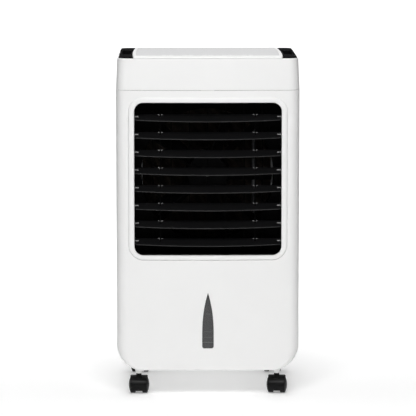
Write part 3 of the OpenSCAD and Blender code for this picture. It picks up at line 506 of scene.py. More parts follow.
@dataclass
class Solid:
    """Vertices in millimetres and the faces between them."""

    points: list[Point] = field(default_factory=list)
    faces: list[tuple[int, ...]] = field(default_factory=list)

    def ring(self, points: Iterable[Point]) -> list[int]:
        """Adds points and gives their numbers."""
        first = len(self.points)
        self.points += list(points)
        return list(range(first, len(self.points)))

    def bridge(self, a: Sequence[int], b: Sequence[int], closed: bool = True) -> None:
        """Joins two rings of the same length with four-sided faces."""
        count = len(a)
        for i in range(count if closed else count - 1):
            j = (i + 1) % count
            self.faces.append((a[i], a[j], b[j], b[i]))

    def loft(self, rings: Sequence[Iterable[Point]], closed: bool = True, ends: bool = False,
             loop: bool = False) -> list[list[int]]:
        """Joins a row of rings.

        Args:
            rings: The rings, each with the same number of points.
            closed: Whether each ring closes on itself.
            ends: Whether the first and last rings are filled.
            loop: Whether the last ring joins the first.

        Returns:
            The numbers of each ring's points.
        """
        numbers = [self.ring(r) for r in rings]
        for a, b in zip(numbers, numbers[1:]):
            self.bridge(a, b, closed)
        if loop:
            self.bridge(numbers[-1], numbers[0], closed)
        if ends:
            self.faces += [tuple(numbers[0]), tuple(reversed(numbers[-1]))]
        return numbers

    def sheet(self, outline: Sequence[Flat], holes: Sequence[Sequence[Flat]], lift: Callable[[Flat], Point],
              step: Flat = (14.0, 24.0)) -> None:
        """Fills an outline around its holes with triangles.

        Args:
            outline: Closed outline.
            holes: Closed outlines of the openings.
            lift: Gives the place in space of a point of the outline's plane.
            step: Spacing of the inner points.
        """
        flat: list[Flat] = []
        edges: list[tuple[int, int]] = []
        for loop in [outline, *holes]:
            first = len(flat)
            flat += loop
            edges += [(first + i, first + (i + 1) % len(loop)) for i in range(len(loop))]
        us, vs = [p[0] for p in outline], [p[1] for p in outline]
        wide = [inset(h, -2.5) for h in holes]
        for i in range(int(min(us) // step[0]), int(max(us) // step[0]) + 1):
            for j in range(int(min(vs) // step[1]), int(max(vs) // step[1]) + 1):
                spot = (i * step[0], j * step[1] + 0.37)
                if inside(spot, outline) and not any(inside(spot, h) for h in wide):
                    flat.append(spot)
        made = delaunay_2d_cdt([Vector(p) for p in flat], edges, [], 0, 1e-5)
        numbers = self.ring(lift((p.x, p.y)) for p in made[0])
        for face in made[2]:
            spots = [made[0][k] for k in face]
            middle = (sum(v.x for v in spots) / len(face), sum(v.y for v in spots) / len(face))
            if inside(middle, outline) and not any(inside(middle, h) for h in holes):
                self.faces.append(tuple(numbers[k] for k in face))

    def moved(self, matrix: Matrix) -> "Solid":
        """A copy carried by a matrix in millimetres."""
        return Solid([tuple(matrix @ Vector(p)) for p in self.points], list(self.faces))

    def plus(self, other: "Solid") -> "Solid":
        """This solid with another one's faces added."""
        first = len(self.points)
        self.points += other.points
        self.faces += [tuple(first + k for k in face) for face in other.faces]
        return self


def revolve(profile: Sequence[Flat], steps: int = 64, axis: Axis = Axis.Z) -> Solid:
    """Turns a profile of (radius, height) about an axis.

    Args:
        profile: The profile's points, from one end to the other.
        steps: Number of steps round the axis.
        axis: The axis it turns about.

    Returns:
        The turned solid, about the origin.
    """
    solid = Solid()
    rings = []
    for radius, height in profile:
        ring = []
        for i in range(steps):
            a = 2 * math.pi * i / steps
            u, v = radius * math.cos(a), radius * math.sin(a)
            ring.append({Axis.Z: (u, v, height), Axis.X: (height, u, v), Axis.Y: (u, height, v)}[axis])
        rings.append(ring)
    solid.loft(rings, ends=True)
    return solid


def make(solid: Solid, name: str, body: str, finish: Finish, replaces: Sequence[str] = (), wall: float = 0.0,
         edge: float = 0.0, within: Point | None = None, sharp: float = SHARP) -> bpy.types.Object:
    """Turns a solid into a named piece that rides on a body.

    Args:
        solid: The shape in millimetres.
        name: The piece's name.
        body: The body it moves with.
        finish: Its finish.
        replaces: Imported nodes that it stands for.
        wall: Thickness to add inwards, for an open shell.
        edge: Radius to ease sharp edges by.
        within: A point that lies behind the shell's faces.
        sharp: Angle above which an edge is sharp.

    Returns:
        The new object.
    """
    mesh = bpy.data.meshes.new(name)
    mesh.from_pydata([tuple(c * MM for c in p) for p in solid.points], [], solid.faces)
    work = bmesh.new()
    work.from_mesh(mesh)
    bmesh.ops.remove_doubles(work, verts=work.verts, dist=1e-6)
    bmesh.ops.dissolve_degenerate(work, edges=work.edges, dist=1e-7)
    bmesh.ops.recalc_face_normals(work, faces=work.faces)
    if within is not None:
        seat = Vector(within) * MM
        facing = sum(f.normal.dot(f.calc_center_median() - seat) * f.calc_area() for f in work.faces)
        if facing < 0:
            bmesh.ops.reverse_faces(work, faces=work.faces)
    work.to_mesh(mesh)
    work.free()
    mesh.shade_smooth()
    mesh.set_sharp_from_angle(angle=math.radians(sharp))
    piece = bpy.data.objects.new(name, mesh)
    bpy.context.scene.collection.objects.link(piece)
    if wall:
        thick = piece.modifiers.new("wall", "SOLIDIFY")
        thick.thickness, thick.offset, thick.use_even_offset = wall * MM, -1, True
    if edge:
        ease_edges(piece, edge)
    piece.data.materials.append(finish.material())
    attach(piece, body)
    if replaces:
        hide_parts(*replaces)
    log.info("%s rides on %s", name, body)
    return piece


def ease_edges(piece: bpy.types.Object, radius: float, segments: int = 3) -> None:
    """Rounds an object's sharp edges with a modifier."""
    bevel = piece.modifiers.new("eased_edges", "BEVEL")
    bevel.width, bevel.segments = radius * MM, segments
    bevel.limit_method, bevel.angle_limit = "ANGLE", math.radians(SHARP)
    bevel.harden_normals = True


def sweep(rings: Sequence[Sequence[Point]]) -> Solid:
    """A closed solid lofted through rings and filled at both ends."""
    solid = Solid()
    solid.loft(rings, ends=True)
    return solid


# ---------------------------------------------------------------- the cabinet's form


def corners(node: str) -> tuple[Vector, Vector]:
    """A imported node's lowest and highest corners in millimetres."""
    low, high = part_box(node)
    return low / MM, high / MM


def middle(node: str) -> Point:
    """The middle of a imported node's box in millimetres."""
    x, y, z = ((low + high) / 2 for low, high in zip(*corners(node)))
    return x, y, z


def joint(name: str) -> dict:
    """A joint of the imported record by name."""
    return next(j for j in frame["joints"] if j["name"] == name)


def pivot(name: str) -> Point:
    """A joint's place in millimetres."""
    x, y, z = (c / MM for c in joint(name)["pos_m"])
    return x, y, z


@dataclass
class CabinetForm:
    """Outer form that the shells share: a bowed front, upright corners and a rounded belly."""

    half: float
    floor: float
    seam: float
    rim: float
    skin: float
    back: float
    split: float
    bow: float = 8.0
    belly: float = 53.0
    front_roll: float = 22.0
    rear_roll: float = 20.0
    foot_roll: float = 4.0
    lean: float = 3.0
    line: float = 0.3

    @classmethod
    def from_frame(cls) -> "CabinetForm":
        """Reads the form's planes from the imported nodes."""
        front_low, front_high = corners("front_panel")
        _, shell_high = corners("rear_shell")
        _, cover_high = corners("top_cover")
        return cls(half=shell_high.x, floor=front_low.z, seam=front_high.z + 0.5, rim=cover_high.z,
                   skin=front_low.y, back=shell_high.y, split=front_high.y + 0.5)

    @property
    def sill(self) -> float:
        """Height where the belly meets the upright sides."""
        return self.floor + self.belly

    def front(self, x: float) -> float:
        """The bowed front's place at a distance from the middle."""
        radius = (self.half ** 2 + self.bow ** 2) / (2 * self.bow)
        return self.skin + radius - math.sqrt(radius ** 2 - min(abs(x), self.half) ** 2)

    def roll(self, across: float, side: float) -> float:
        """Edge radius where the outline's normal has this share across."""
        return self.foot_roll + (side - self.foot_roll) * abs(across) ** 1.6

    def turn(self, x: float, start: float) -> list[tuple[float, float, float, float]]:
        """One rounded corner of the belly, about a centre at x, from an angle on."""
        points = []
        for a in range(1, 24):
            t = math.radians(start + 90 * a / 24)
            points.append((x + self.belly * math.cos(t), self.sill + self.belly * math.sin(t),
                           math.cos(t), math.sin(t)))
        return points

    def u_outline(self, top: float, bottom: float | None = None) -> list[tuple[float, float, float, float]]:
        """Outline of the sides and the belly as x, z and their outward normal.

        Args:
            top: Where the sides start.
            bottom: Where the sides end, or nothing to run round the belly.

        Returns:
            Points from the left side's top to the right side's top.
        """
        low = min(self.sill, top) if bottom is None else bottom
        count = max(2, int((top - low) / 20))
        side = [(-self.half, top + (low - top) * i / count, -1.0, 0.0) for i in range(count + 1)]
        side = side if top > low else side[:1]
        middle = []
        if bottom is None:
            flat = self.half - self.belly
            middle = self.turn(-flat, 180)
            middle += [(-flat + 2 * flat * i / 24, self.floor, 0.0, -1.0) for i in range(25)]
            middle += self.turn(flat, 270)
        return side + middle + [(-x, z, -nx, nz) for x, z, nx, nz in reversed(side)]

    def rolled(self, outline: Sequence[tuple[float, float, float, float]], turn: float, rear: bool
               ) -> list[Point]:
        """One line of the rounded edge between the outline and the front or the rear.

        Args:
            outline: The sides and the belly.
            turn: 90 degrees on the face, 0 on the sides.
            rear: Whether it is the rear edge.

        Returns:
            The line's points.
        """
        points = []
        for x, z, nx, nz in outline:
            radius = self.roll(nx, self.rear_roll if rear else self.front_roll)
            draw = radius * (1 - math.cos(math.radians(turn)))
            px, pz = x - nx * draw, z - nz * draw
            depth = radius * (1 - math.sin(math.radians(turn)))
            points.append((px, self.back - depth if rear else self.front(px) + depth, pz))
        return points


@dataclass
class Opening:
    """A rounded rectangular opening seen from the front."""

    half: float
    low: float
    high: float
    radius: float
    below: float = 1.0

    def outline(self, grow: float = 0.0, side: int = 24) -> list[Flat]:
        """The opening's outline, grown by a distance, and by a share of it at the bottom."""
        half, low = self.half + grow, self.low - grow * self.below
        return rounded_box(-half, half, low, self.high + grow, max(0.5, self.radius + grow), 12, side)


@dataclass
class SightWindow:
    """Pointed window that shows the water's level."""

    tip: float
    foot: float
    half: float = 11.8
    foot_radius: float = 4.0

    def half_at(self, share: float) -> float:
        """Half width at a share of the height, from the tip down."""
        return self.half * (1 - (1 - share / 0.75) ** 2.3 if share < 0.75 else 1)

    def outline(self, grow: float = 0.0) -> list[Flat]:
        """The window's outline, grown by a distance, anticlockwise."""
        height = self.tip - self.foot
        right = [(self.half_at(t) + grow, self.tip - height * t) for t in
                 (0.005, 0.02, 0.05, 0.09, 0.14, 0.2, 0.28, 0.36, 0.44, 0.52, 0.6, 0.68, 0.75, 0.85)]
        r = self.foot_radius
        foot = arc((self.half - r, self.foot + r), r + grow, -90, 0, 6)
        half_loop = foot + list(reversed(right))
        return half_loop + [(0.0, self.tip + grow * 2)] + [(-x, z) for x, z in reversed(half_loop)]


@dataclass
class FrontShell:
    """Front cover with its outlet bezel and sight window."""

    form: CabinetForm
    outlet: Opening
    window: SightWindow
    wall: float = 2.5
    bezel: float = BORDER
    groove: float = 0.5

    def build(self) -> None:
        """Makes the cover, the bezel, the window and its gauge."""
        self.cover()
        self.frame_ring()
        self.lens()

    def cover(self) -> None:
        """Makes the bowed cover with its two openings."""
        form = self.form
        top = form.seam - form.line
        line = form.u_outline(top)
        solid = Solid()
        rings = [form.rolled(line, a, False) for a in range(90, -1, -SWEEP)]
        rings.append([(x, form.split - form.line, z) for x, _, z in rings[-1]])
        solid.loft(rings, closed=False)
        face = [(x, z) for x, _, z in rings[0]]
        across = run(face[-1], face[0], 26)
        seat = [(x, z - self.groove) for x, z in self.outlet.outline(self.bezel + 0.3)]
        holes = [seat, self.window.outline(0.25)]
        solid.sheet(face + across, holes, lambda p: (p[0], form.front(p[0]), p[1]))
        make(solid, "front_cover", "cabinet", WHITE, ["front_panel"], self.wall, EASE, (0, 0, 350))

    def frame_ring(self) -> None:
        """Makes the crowned ring around the outlet, with its lip."""
        form, wide = self.form, self.bezel
        section = [(wide, -2.4), (wide, 0.25), (wide - 0.35, 0.9), (wide - 1.4, 1.6), (wide - 3.2, 2.15),
                   (wide - 5.4, 2.42), (wide - 7.4, 2.45), (2.8, 2.3), (1.4, 1.9), (0.55, 1.25), (0.12, 0.45),
                   (0.0, -0.6)]
        rings = []
        for grow, proud in section:
            rings.append([(x, form.front(x) - proud, z) for x, z in self.outlet.outline(grow)])
        deep = corners("louvre_bezel")[1].y
        rings.append([(x, deep, z) for x, z in self.outlet.outline(0)])
        rings.append([(x, deep, z) for x, z in self.outlet.outline(1.0)])
        rings.append([(x, form.front(x) + 2.4, z) for x, z in self.outlet.outline(1.0)])
        solid = Solid()
        solid.loft(rings, loop=True)
        make(solid, "outlet_bezel", "cabinet", WHITE, ["louvre_bezel"])

    def lens(self) -> None:
        """Makes the smoked lens, the gauge behind it and light stripes on the gauge, the lowest of them a
        painted highlight.
        """
        front = self.form.skin
        levels = [(0.0, front + 3.2), (0.0, front + 0.4), (-0.25, front + 0.02), (-0.8, front - 0.25),
                  (-1.8, front - 0.35)]
        outline = self.window.outline()
        solid = Solid()
        centre = Vector((0, (self.window.tip + self.window.foot * 1.6) / 2.6))
        rings = []
        for grow, y in levels:
            ring = []
            for x, z in outline:
                towards = (centre - Vector((x, z))).normalized() * -grow
                ring.append((x + towards.x, y, z + towards.y))
            rings.append(ring)
        solid.loft(rings)
        last = [(x, z) for x, _, z in rings[-1]]
        solid.sheet(last, [], lambda p: (p[0], front - 0.35, p[1]), (6, 8))
        make(solid, "window_lens", "cabinet", SMOKE, ["level_window"])
        back = Solid()
        back.sheet(self.window.outline(2.0), [], lambda p: (p[0], front + 4.6, p[1]), (8, 12))
        make(back, "gauge_plate", "cabinet", GAUGE, wall=0.8, within=(0, front + 30, 160))
        marks = Solid()
        height = self.window.tip - self.window.foot
        # The lowest, full-width stripe is a painted highlight near the window's foot.
        for share, tall, wide in ((0.105, 1.6, 1.0), (0.2, 0.7, 0.8), (0.3, 0.5, 0.7), (0.62, 0.8, 0.6)):
            z = self.window.foot + height * share
            half = self.window.half_at(1 - share) * wide
            stripe = rounded_box(-half, half, z - tall / 2, z + tall / 2, tall / 3, 3, 3)
            marks.plus(sweep([[(x, y, h) for x, h in stripe] for y in (front + 4.5, front + 3.9)]))
        make(marks, "gauge_stripes_and_highlight", "cabinet", GAUGE_STRIPE_AND_HIGHLIGHT)


@dataclass
class RearBody:
    """Sides, back and base tray."""

    form: CabinetForm
    intake: Opening
    bay: Opening
    latch_height: float
    wall: float = 2.5

    def back_lift(self, p: Flat) -> Point:
        """A point on the back wall."""
        return (p[0], self.form.back, p[1])

    def bay_outline(self, low: float, high: float) -> list[Flat]:
        """The tank bay's outline between two heights, clockwise from its top left."""
        bay = self.bay
        if low >= bay.low + bay.radius:
            return [(-bay.half, high), (-bay.half, low), (bay.half, low), (bay.half, high)]
        right = arc((bay.half - bay.radius, bay.low + bay.radius), bay.radius, 0, -90, 12)
        return [(bay.half, high)] + right + [(-x, z) for x, z in reversed(right)] + [(-bay.half, high)]

    def build(self) -> None:
        """Makes the rear shell and the tray."""
        self.shell()
        self.tray()
        self.sockets()

    def skirt(self, solid: Solid, line: Sequence[tuple[float, float, float, float]]) -> list[Flat]:
        """Adds the sides along a line, with their rounded rear edge, and gives the edge of the back."""
        start = self.form.split + self.form.line
        rings = [[(x, y, z) for x, z, _, _ in line] for y in (start, start + 0.8)]
        rings += [self.form.rolled(line, a, True) for a in range(0, 91, SWEEP)]
        solid.loft(rings, closed=False)
        return [(x, z) for x, _, z in rings[-1]]

    def shell(self) -> None:
        """Makes the sides and the back as one cover."""
        form = self.form
        low, high = form.sill + form.line, form.seam - form.line
        line = form.u_outline(high, low)
        half_count = len(line) // 2
        solid = Solid()
        edges = []
        for part in (line[:half_count], line[half_count:]):
            edges.append(self.skirt(solid, part))
        left, right = edges
        bay = self.bay_outline(low, self.bay.high)
        outline = left + run(left[-1], bay[1], 3) + [bay[1], bay[0]] + run(bay[0], bay[3], 12)
        outline += [bay[3], bay[2]] + run(bay[2], right[0], 3) + right + run(right[-1], left[0], 16)
        holes = [self.intake.outline(0, 10), arc_hole((0, self.latch_height), 3.3),
                 arc_hole((corners("cord_gland")[0].x + 8, self.latch_height), 6.0)]
        solid.sheet(outline, holes, self.back_lift, (18, 26))
        make(solid, "rear_cover", "cabinet", WHITE, ["rear_shell"], self.wall, EASE, (0, 0, 380))

    def tray(self) -> None:
        """Makes the base tray with its rounded belly."""
        form = self.form
        high = form.sill - form.line
        line = form.u_outline(high)
        solid = Solid()
        face = self.skirt(solid, line)
        bay = self.bay_outline(self.bay.low, high)
        outline = face + run(face[-1], bay[0], 3) + bay + run(bay[-1], face[0], 3)
        solid.sheet(outline, [], self.back_lift, (18, 14))
        make(solid, "base_cover", "cabinet", WHITE, ["base_tray"], self.wall, EASE, (0, 0, 130))

    def sockets(self) -> None:
        """Makes the flared bosses that hold the caster stems."""
        profile = [(4.1, 44.0), (5.4, 44.0), (5.9, 44.4), (6.3, 46), (7.2, 49.5), (8.3, 53), (9.6, 56.5),
                   (11, 60), (11.5, 63)]
        for name in CORNERS:
            x, y, _ = pivot(f"swivel_{name}")
            boss = revolve(profile, 48).moved(Matrix.Translation((x, y, 0)))
            make(boss, f"caster_boss_{name}", "cabinet", WHITE)


def arc_hole(centre: Flat, radius: float) -> list[Flat]:
    """A round hole's outline."""
    return arc(centre, radius, 0, 360, 24)[:-1]


# ---------------------------------------------------------------- the top


@dataclass
class Top:
    """Band, deck, film, trims and keys."""

    form: CabinetForm
    deck: float
    deck_half: float
    low: float
    bulge: float = 4.0
    rim_wall: float = 3.0
    lip: float = 2.8
    film_side: float = 7.0
    film_front: float = 46.0
    film_rear: float = 8.0

    def plan(self, take: float, lean: float = 0.0) -> list[Flat]:
        """Plan outline of the cabinet, taken in and leant in, anticlockwise from the front left."""
        form = self.form
        half, roll, rear = form.half, form.front_roll, form.rear_roll
        span = half - roll
        points = [(x, form.front(x) + take) for x in (span * (i / 20 - 1) for i in range(41))]
        start = Vector((span, form.front(span) + take))
        for i in range(1, 13):
            t = math.radians(90 * i / 12)
            r = roll - take
            points.append((start.x + r * math.sin(t), start.y + r * (1 - math.cos(t))
                           + (form.front(half) - form.front(span)) * i / 12))
        points += run(points[-1], (half - take, form.back - rear), 12)
        points += arc((half - rear, form.back - rear), rear - take, 0, 90, 12)
        points += run(points[-1], (rear - half, form.back - take), 16)
        points += arc((rear - half, form.back - rear), rear - take, 90, 180, 12)
        first = (-(half - take), 0.0)
        mirrored = [(-x, y) for x, y in reversed(points[41:53])]
        points += run(points[-1], (first[0], mirrored[0][1]), 12) + mirrored
        scale = 1 - lean / half
        return [(x * scale, y) for x, y in points]

    def side_at(self, y: float) -> float:
        """The deck's half width at a place along its depth."""
        return self.deck_half + self.bulge * (1 - (y / (self.form.back + 3.5)) ** 2)

    def deck_outline(self, side: float = 0.0, front: float = 0.0, rear: float = 0.0, corner: float = 2.2
                     ) -> list[Flat]:
        """Closed outline of the deck or the film, anticlockwise from the front left.

        Args:
            side: How far its sides are taken in.
            front: How far its front is taken in.
            rear: How far its rear is taken in.
            corner: Corner radius.

        Returns:
            The outline's points.
        """
        form, take = self.form, self.rim_wall
        y1 = form.back - take - rear

        def low_edge(x: float) -> float:
            """The front edge's place."""
            return form.front(x) + take + front if front == 0 else form.skin + front

        y0 = low_edge(self.deck_half - side)
        edge = self.side_at(y0) - side - corner
        points = [(x, low_edge(x)) for x in (edge * (i / 16 - 1) for i in range(33))]
        points += arc((edge, y0 + corner), corner, -90, 0, 5)[1:]
        points += [(self.side_at(y) - side, y) for y in (y0 + corner + (y1 - y0 - 2 * corner) * i / 16
                                                         for i in range(1, 16))]
        back = self.side_at(y1) - side - corner
        points += arc((back, y1 - corner), corner, 0, 90, 5)
        half_loop = points[33:]
        points += run((back, y1), (-back, y1), 16)
        points += [(-x, y) for x, y in reversed(half_loop)]
        return points

    def build(self) -> None:
        """Makes every piece of the top."""
        self.band()
        self.panel()
        self.trims()
        self.keys()

    def band(self) -> None:
        """Makes the band with its rolled rim."""
        form = self.form
        z0, z1 = form.seam + form.line, form.rim

        def level(take: float, z: float) -> list[Point]:
            """One ring of the band at a height."""
            lean = form.lean * (z - z0) / (z1 - z0)
            return at(z, self.plan(take, lean))

        rings = [level(0.35, z0), level(0.0, z0 + 0.4)]
        rings += [level(0.0, z0 + (z1 - 3 - z0) * i / 4) for i in range(1, 5)]
        for a in range(15, 91, 15):
            t = math.radians(a)
            rings.append(level(1.5 * (1 - math.cos(t)), z1 - 1.5 + 1.5 * math.sin(t)))
        rings += [level(2.1, z1 - 0.1), level(2.5, z1 - 0.5), level(2.6, z1 - 6), level(2.6, z0 + 1),
                  level(2.2, z0)]
        solid = Solid()
        solid.loft(rings, loop=True)
        make(solid, "top_band", "cabinet", WHITE, ["top_cover"])

    def key_outline(self, x: float, grow: float = 0.0) -> list[Flat]:
        """Round-ended outline of a key."""
        half, deep, y = 13.0 + grow, 6.0 + grow, middle("button_power")[1]
        return rounded_box(x - half, x + half, y - deep, y + deep, deep - 0.05, 8, 4)

    def key_places(self) -> dict[str, float]:
        """The middle of each key, by node."""
        names = [n for n in frame["nodes"] if n.startswith("button_")]
        return {n: middle(n)[0] for n in sorted(names)}

    def panel(self) -> None:
        """Makes the deck with its soft lip, the film set into it and the marks on the film."""
        top, outline = self.deck, self.deck_outline()
        film = self.deck_outline(self.film_side, self.film_front, self.film_rear, 6.0)
        solid = Solid()
        under = inset(outline, 1.5)
        rings = [at(self.low, under), at(top - self.lip, under), at(top - self.lip, outline)]
        for a in range(15, 91, 15):
            t = math.radians(a)
            rings.append(at(top - self.lip * (1 - math.sin(t)), inset(outline, 2.0 * (1 - math.cos(t)))))
        solid.loft(rings)
        border = [(x, y) for x, y, _ in rings[-1]]
        solid.sheet(border, [film], lambda p: (p[0], p[1], top), (16, 16))
        solid.loft([at(z, film) for z in (top, top - FILM_SEAT)])
        keys = [self.key_outline(x, 0.3) for x in self.key_places().values()]
        key_y = middle("button_power")[1]
        lamps = [arc_hole((x, key_y + LAMP_RISE), 1.6) for x in self.key_places().values()]
        solid.sheet(film, keys + lamps, lambda p: (p[0], p[1], top - FILM_SEAT), (16, 16))
        make(solid, "deck_panel", "cabinet", WHITE, ["control_deck"], within=(0, 0, self.low - 50))
        sheet = Solid()
        sheet.sheet(inset(film, 0.25), keys + lamps, lambda p: (p[0], p[1], top - 0.06), (16, 16))
        make(sheet, "film_panel", "cabinet", FILM, ["control_film"], 0.5, 0.12, (0, 0, self.low - 50))
        self.marks(key_y)

    def marks(self, key_y: float) -> None:
        """Makes plain signs on the film, behind each key, and a round lamp lens."""
        level = self.deck
        solid = Solid()
        for index, x in enumerate(self.key_places().values()):
            y = key_y - SIGN_DROP
            for shape in sign_shapes(index):
                sign = [(x + u, y + v) for u, v in shape]
                solid.plus(sweep([at(level - down, sign) for down in (0.08, 0.01)]))
        make(solid, "film_signs", "cabinet", MARK)
        lamps = Solid()
        for x in self.key_places().values():
            lens = revolve([(1.45, -1.2), (1.45, -0.25), (1.1, -0.1), (0.5, -0.03), (0.01, -0.02)], 20)
            lamps.plus(lens.moved(Matrix.Translation((x, key_y + LAMP_RISE, level))))
        make(lamps, "film_lamps", "cabinet", LAMP)

    def trim_outline(self, side: Side) -> list[Flat]:
        """Outline of one side trim between the deck and the rim."""
        take, gap = self.rim_wall, 0.3
        plan = [(x, y) for x, y in self.plan(take, self.form.lean) if x > self.deck_half - 2]
        plan = sorted((p for p in plan if p[0] > self.side_at(p[1]) + gap + 0.6),
                      key=lambda p: math.atan2(p[1], p[0] - self.deck_half))
        y0, y1 = plan[0][1], plan[-1][1]
        inner = [(self.side_at(y) + gap, y) for y in (y1 + (y0 - y1) * i / 14 for i in range(15))]
        points = plan + inner
        if side is Side.LEFT:
            points = [(-x, y) for x, y in reversed(points)]
        return points

    def trims(self) -> None:
        """Makes the two grained trims with their hand holds."""
        low, high = corners("top_side_trims")
        grip = Opening(9.0, -60.0, 60.0, 4.0)
        solid = Solid()
        for side in Side:
            outline = self.trim_outline(side)
            top, eased = self.deck - 0.6, inset(outline, 0.8)
            centre = side.value * (high.x - 14.5)
            slot = rounded_box(-grip.half, grip.half, grip.low, grip.high, 4, 6, 6)
            hole = [(x + centre, y) for x, y in slot]
            solid.loft([at(self.low, outline), at(top - 0.8, outline), at(top - 0.25, inset(outline, 0.25)),
                        at(top, eased)])
            solid.sheet(eased, [inset(hole, -1.0)], lambda p, z=top: (p[0], p[1], z), (8, 14))
            numbers = solid.loft([at(top, inset(hole, -1.0)), at(top - 0.3, inset(hole, -0.4)),
                                  at(top - 1.2, hole), at(low.z + 4, hole),
                                  at(low.z + 2.3, inset(hole, 1.8))])
            solid.faces.append(tuple(numbers[-1]))
        make(solid, "side_trims", "cabinet", TRIM, ["top_side_trims"], within=(0, 0, self.low - 60))

    def keys(self) -> None:
        """Makes the push keys with dished caps."""
        for node, x in self.key_places().items():
            low, _ = corners(node)
            cap = ((0.0, 4.4), (0.0, 0.7), (-0.2, 0.25), (-0.6, 0.03), (-1.4, 0.0), (-3.0, 0.35), (-4.6, 0.5))
            solid = sweep([at(self.deck - down, self.key_outline(x, grow)) for grow, down in cap])
            stem = revolve([(2.0, low.z), (2.0, self.deck - 4.2)], 24)
            solid.plus(stem.moved(Matrix.Translation((x, middle(node)[1], 0))))
            make(solid, f"key_{node.removeprefix('button_')}", node, KEY, [node])


def band_arc(radius: float, width: float, start: float, stop: float, centre: Flat = (0, 0)) -> list[Flat]:
    """A curved stroke's outline."""
    outer, inner = radius + width / 2, radius - width / 2
    return arc(centre, outer, start, stop, 12) + arc(centre, inner, stop, start, 12)


def bar(x0: float, x1: float, y0: float, y1: float) -> list[Flat]:
    """A small bar with eased corners."""
    return rounded_box(x0, x1, y0, y1, min(x1 - x0, y1 - y0) * 0.3, 3, 2)


def sign_shapes(index: int) -> list[list[Flat]]:
    """Plain sign for a key: power, speed, cool, swing or timer, in the order of the nodes' names."""
    drop = arc((0, -0.8), 1.9, -215, 35, 14) + [(0.0, 3.2)]
    signs = [
        [drop],
        [band_arc(2.4, 0.6, 125, 415), bar(-0.3, 0.3, 0.6, 3.2)],
        [bar(-2.6, -1.7, -2.2, -0.6), bar(-0.9, 0.0, -2.2, 0.6), bar(0.8, 1.7, -2.2, 2.0)],
        [band_arc(3.6, 0.6, 235, 305, (0, 2.6)), [(-3.0, 0.9), (-1.4, -1.1), (-3.2, -1.3)],
         [(3.0, 0.9), (3.2, -1.3), (1.4, -1.1)]],
        [band_arc(2.4, 0.6, 0, 359), bar(-0.25, 0.25, 0.0, 1.7), bar(0.0, 1.4, -0.25, 0.25)],
    ]
    return signs[index]


# ---------------------------------------------------------------- the outlet's moving parts


END_PIN = [(0.01, 0), (2.1, 0.0), (2.4, 0.3), (2.4, 7.9), (2.2, 8.1), (2.2, 9.9), (0.01, 9.9)]
TIE_PIN = [(0.01, 0), (0.9, 0.0), (1.05, 0.15), (1.05, 4.45), (0.9, 4.6), (0.01, 4.6)]
LUG_TURN = [(0.01, 0), (1.2, 0.0), (1.75, 0.6), (1.85, 1.6), (1.75, 2.6), (1.2, 3.2), (0.01, 3.2)]


@dataclass
class Louvres:
    """Level blades with their pins, and lugs where the tie bars hold them."""

    outlet: Opening
    half: float = 153.7
    front: float = 16.0
    bow: float = 9.0
    rear: float = 12.0
    thick: float = 2.2
    tilt: float = 20.0
    slot: float = 4.2
    tie_x: float = 100.0

    def outline(self) -> list[Flat]:
        """A flat blade's outline with its two tie slots, anticlockwise from the front left."""
        points = [(x, -self.front - self.bow * (1 - (x / self.half) ** 2))
                  for x in (self.half * (i / 20 - 1) for i in range(41))]
        points += run(points[-1], (self.half, self.rear), 3) + [(self.half, self.rear)]
        for side in (1, -1):
            a, b = side * self.tie_x + self.slot / 2, side * self.tie_x - self.slot / 2
            points += run(points[-1], (a, self.rear), 4)
            points += [(a, self.rear), (a, -2.0), (b, -2.0), (b, self.rear)]
        points += run(points[-1], (-self.half, self.rear), 4) + [(-self.half, self.rear)]
        return points + run(points[-1], points[0], 3)

    def build(self) -> None:
        """Makes each blade about its own pivot."""
        end = revolve(END_PIN, 24, Axis.X)
        tie, lug = (revolve(turned, 16, Axis.X) for turned in (TIE_PIN, LUG_TURN))
        for number in range(1, 9):
            name = "louvre_tilt" if number == 1 else f"louvre_tilt_{number}"
            _, y, z = pivot(name)
            place = Matrix.Translation((0, y, z)) @ Matrix.Rotation(math.radians(self.tilt), 4, "X")
            solid = Solid()
            solid.sheet(self.outline(), [], lambda p: (p[0], p[1], self.thick / 2), (12, 7))
            make(solid.moved(place), f"blade_{number}_wing", f"blade_{number}", BLACK,
                 [f"louvre_blade_{number}"], self.thick, 0.8, (0, y, z - 60))
            pins, lugs = Solid(), Solid()
            for side in (-1, 1):
                pins.plus(end.moved(place @ Matrix.Rotation(math.pi * (side < 0), 4, "Z")
                                    @ Matrix.Translation((self.half - 8.0, 0, 0))))
                pins.plus(tie.moved(place @ Matrix.Translation((side * self.tie_x - 2.3, self.rear - 2, 0))))
                for edge in (-1, 1):
                    across = side * self.tie_x + edge * (self.slot / 2 + 1.6) - 1.6
                    lugs.plus(lug.moved(place @ Matrix.Translation((across, self.rear - 2, 0))))
            # The light grey of the pins and lugs is a painted glint.
            make(pins, f"blade_{number}_pins", f"blade_{number}", PIN)
            make(lugs, f"blade_{number}_lugs", f"blade_{number}", LUG)


# ---------------------------------------------------------------- casters


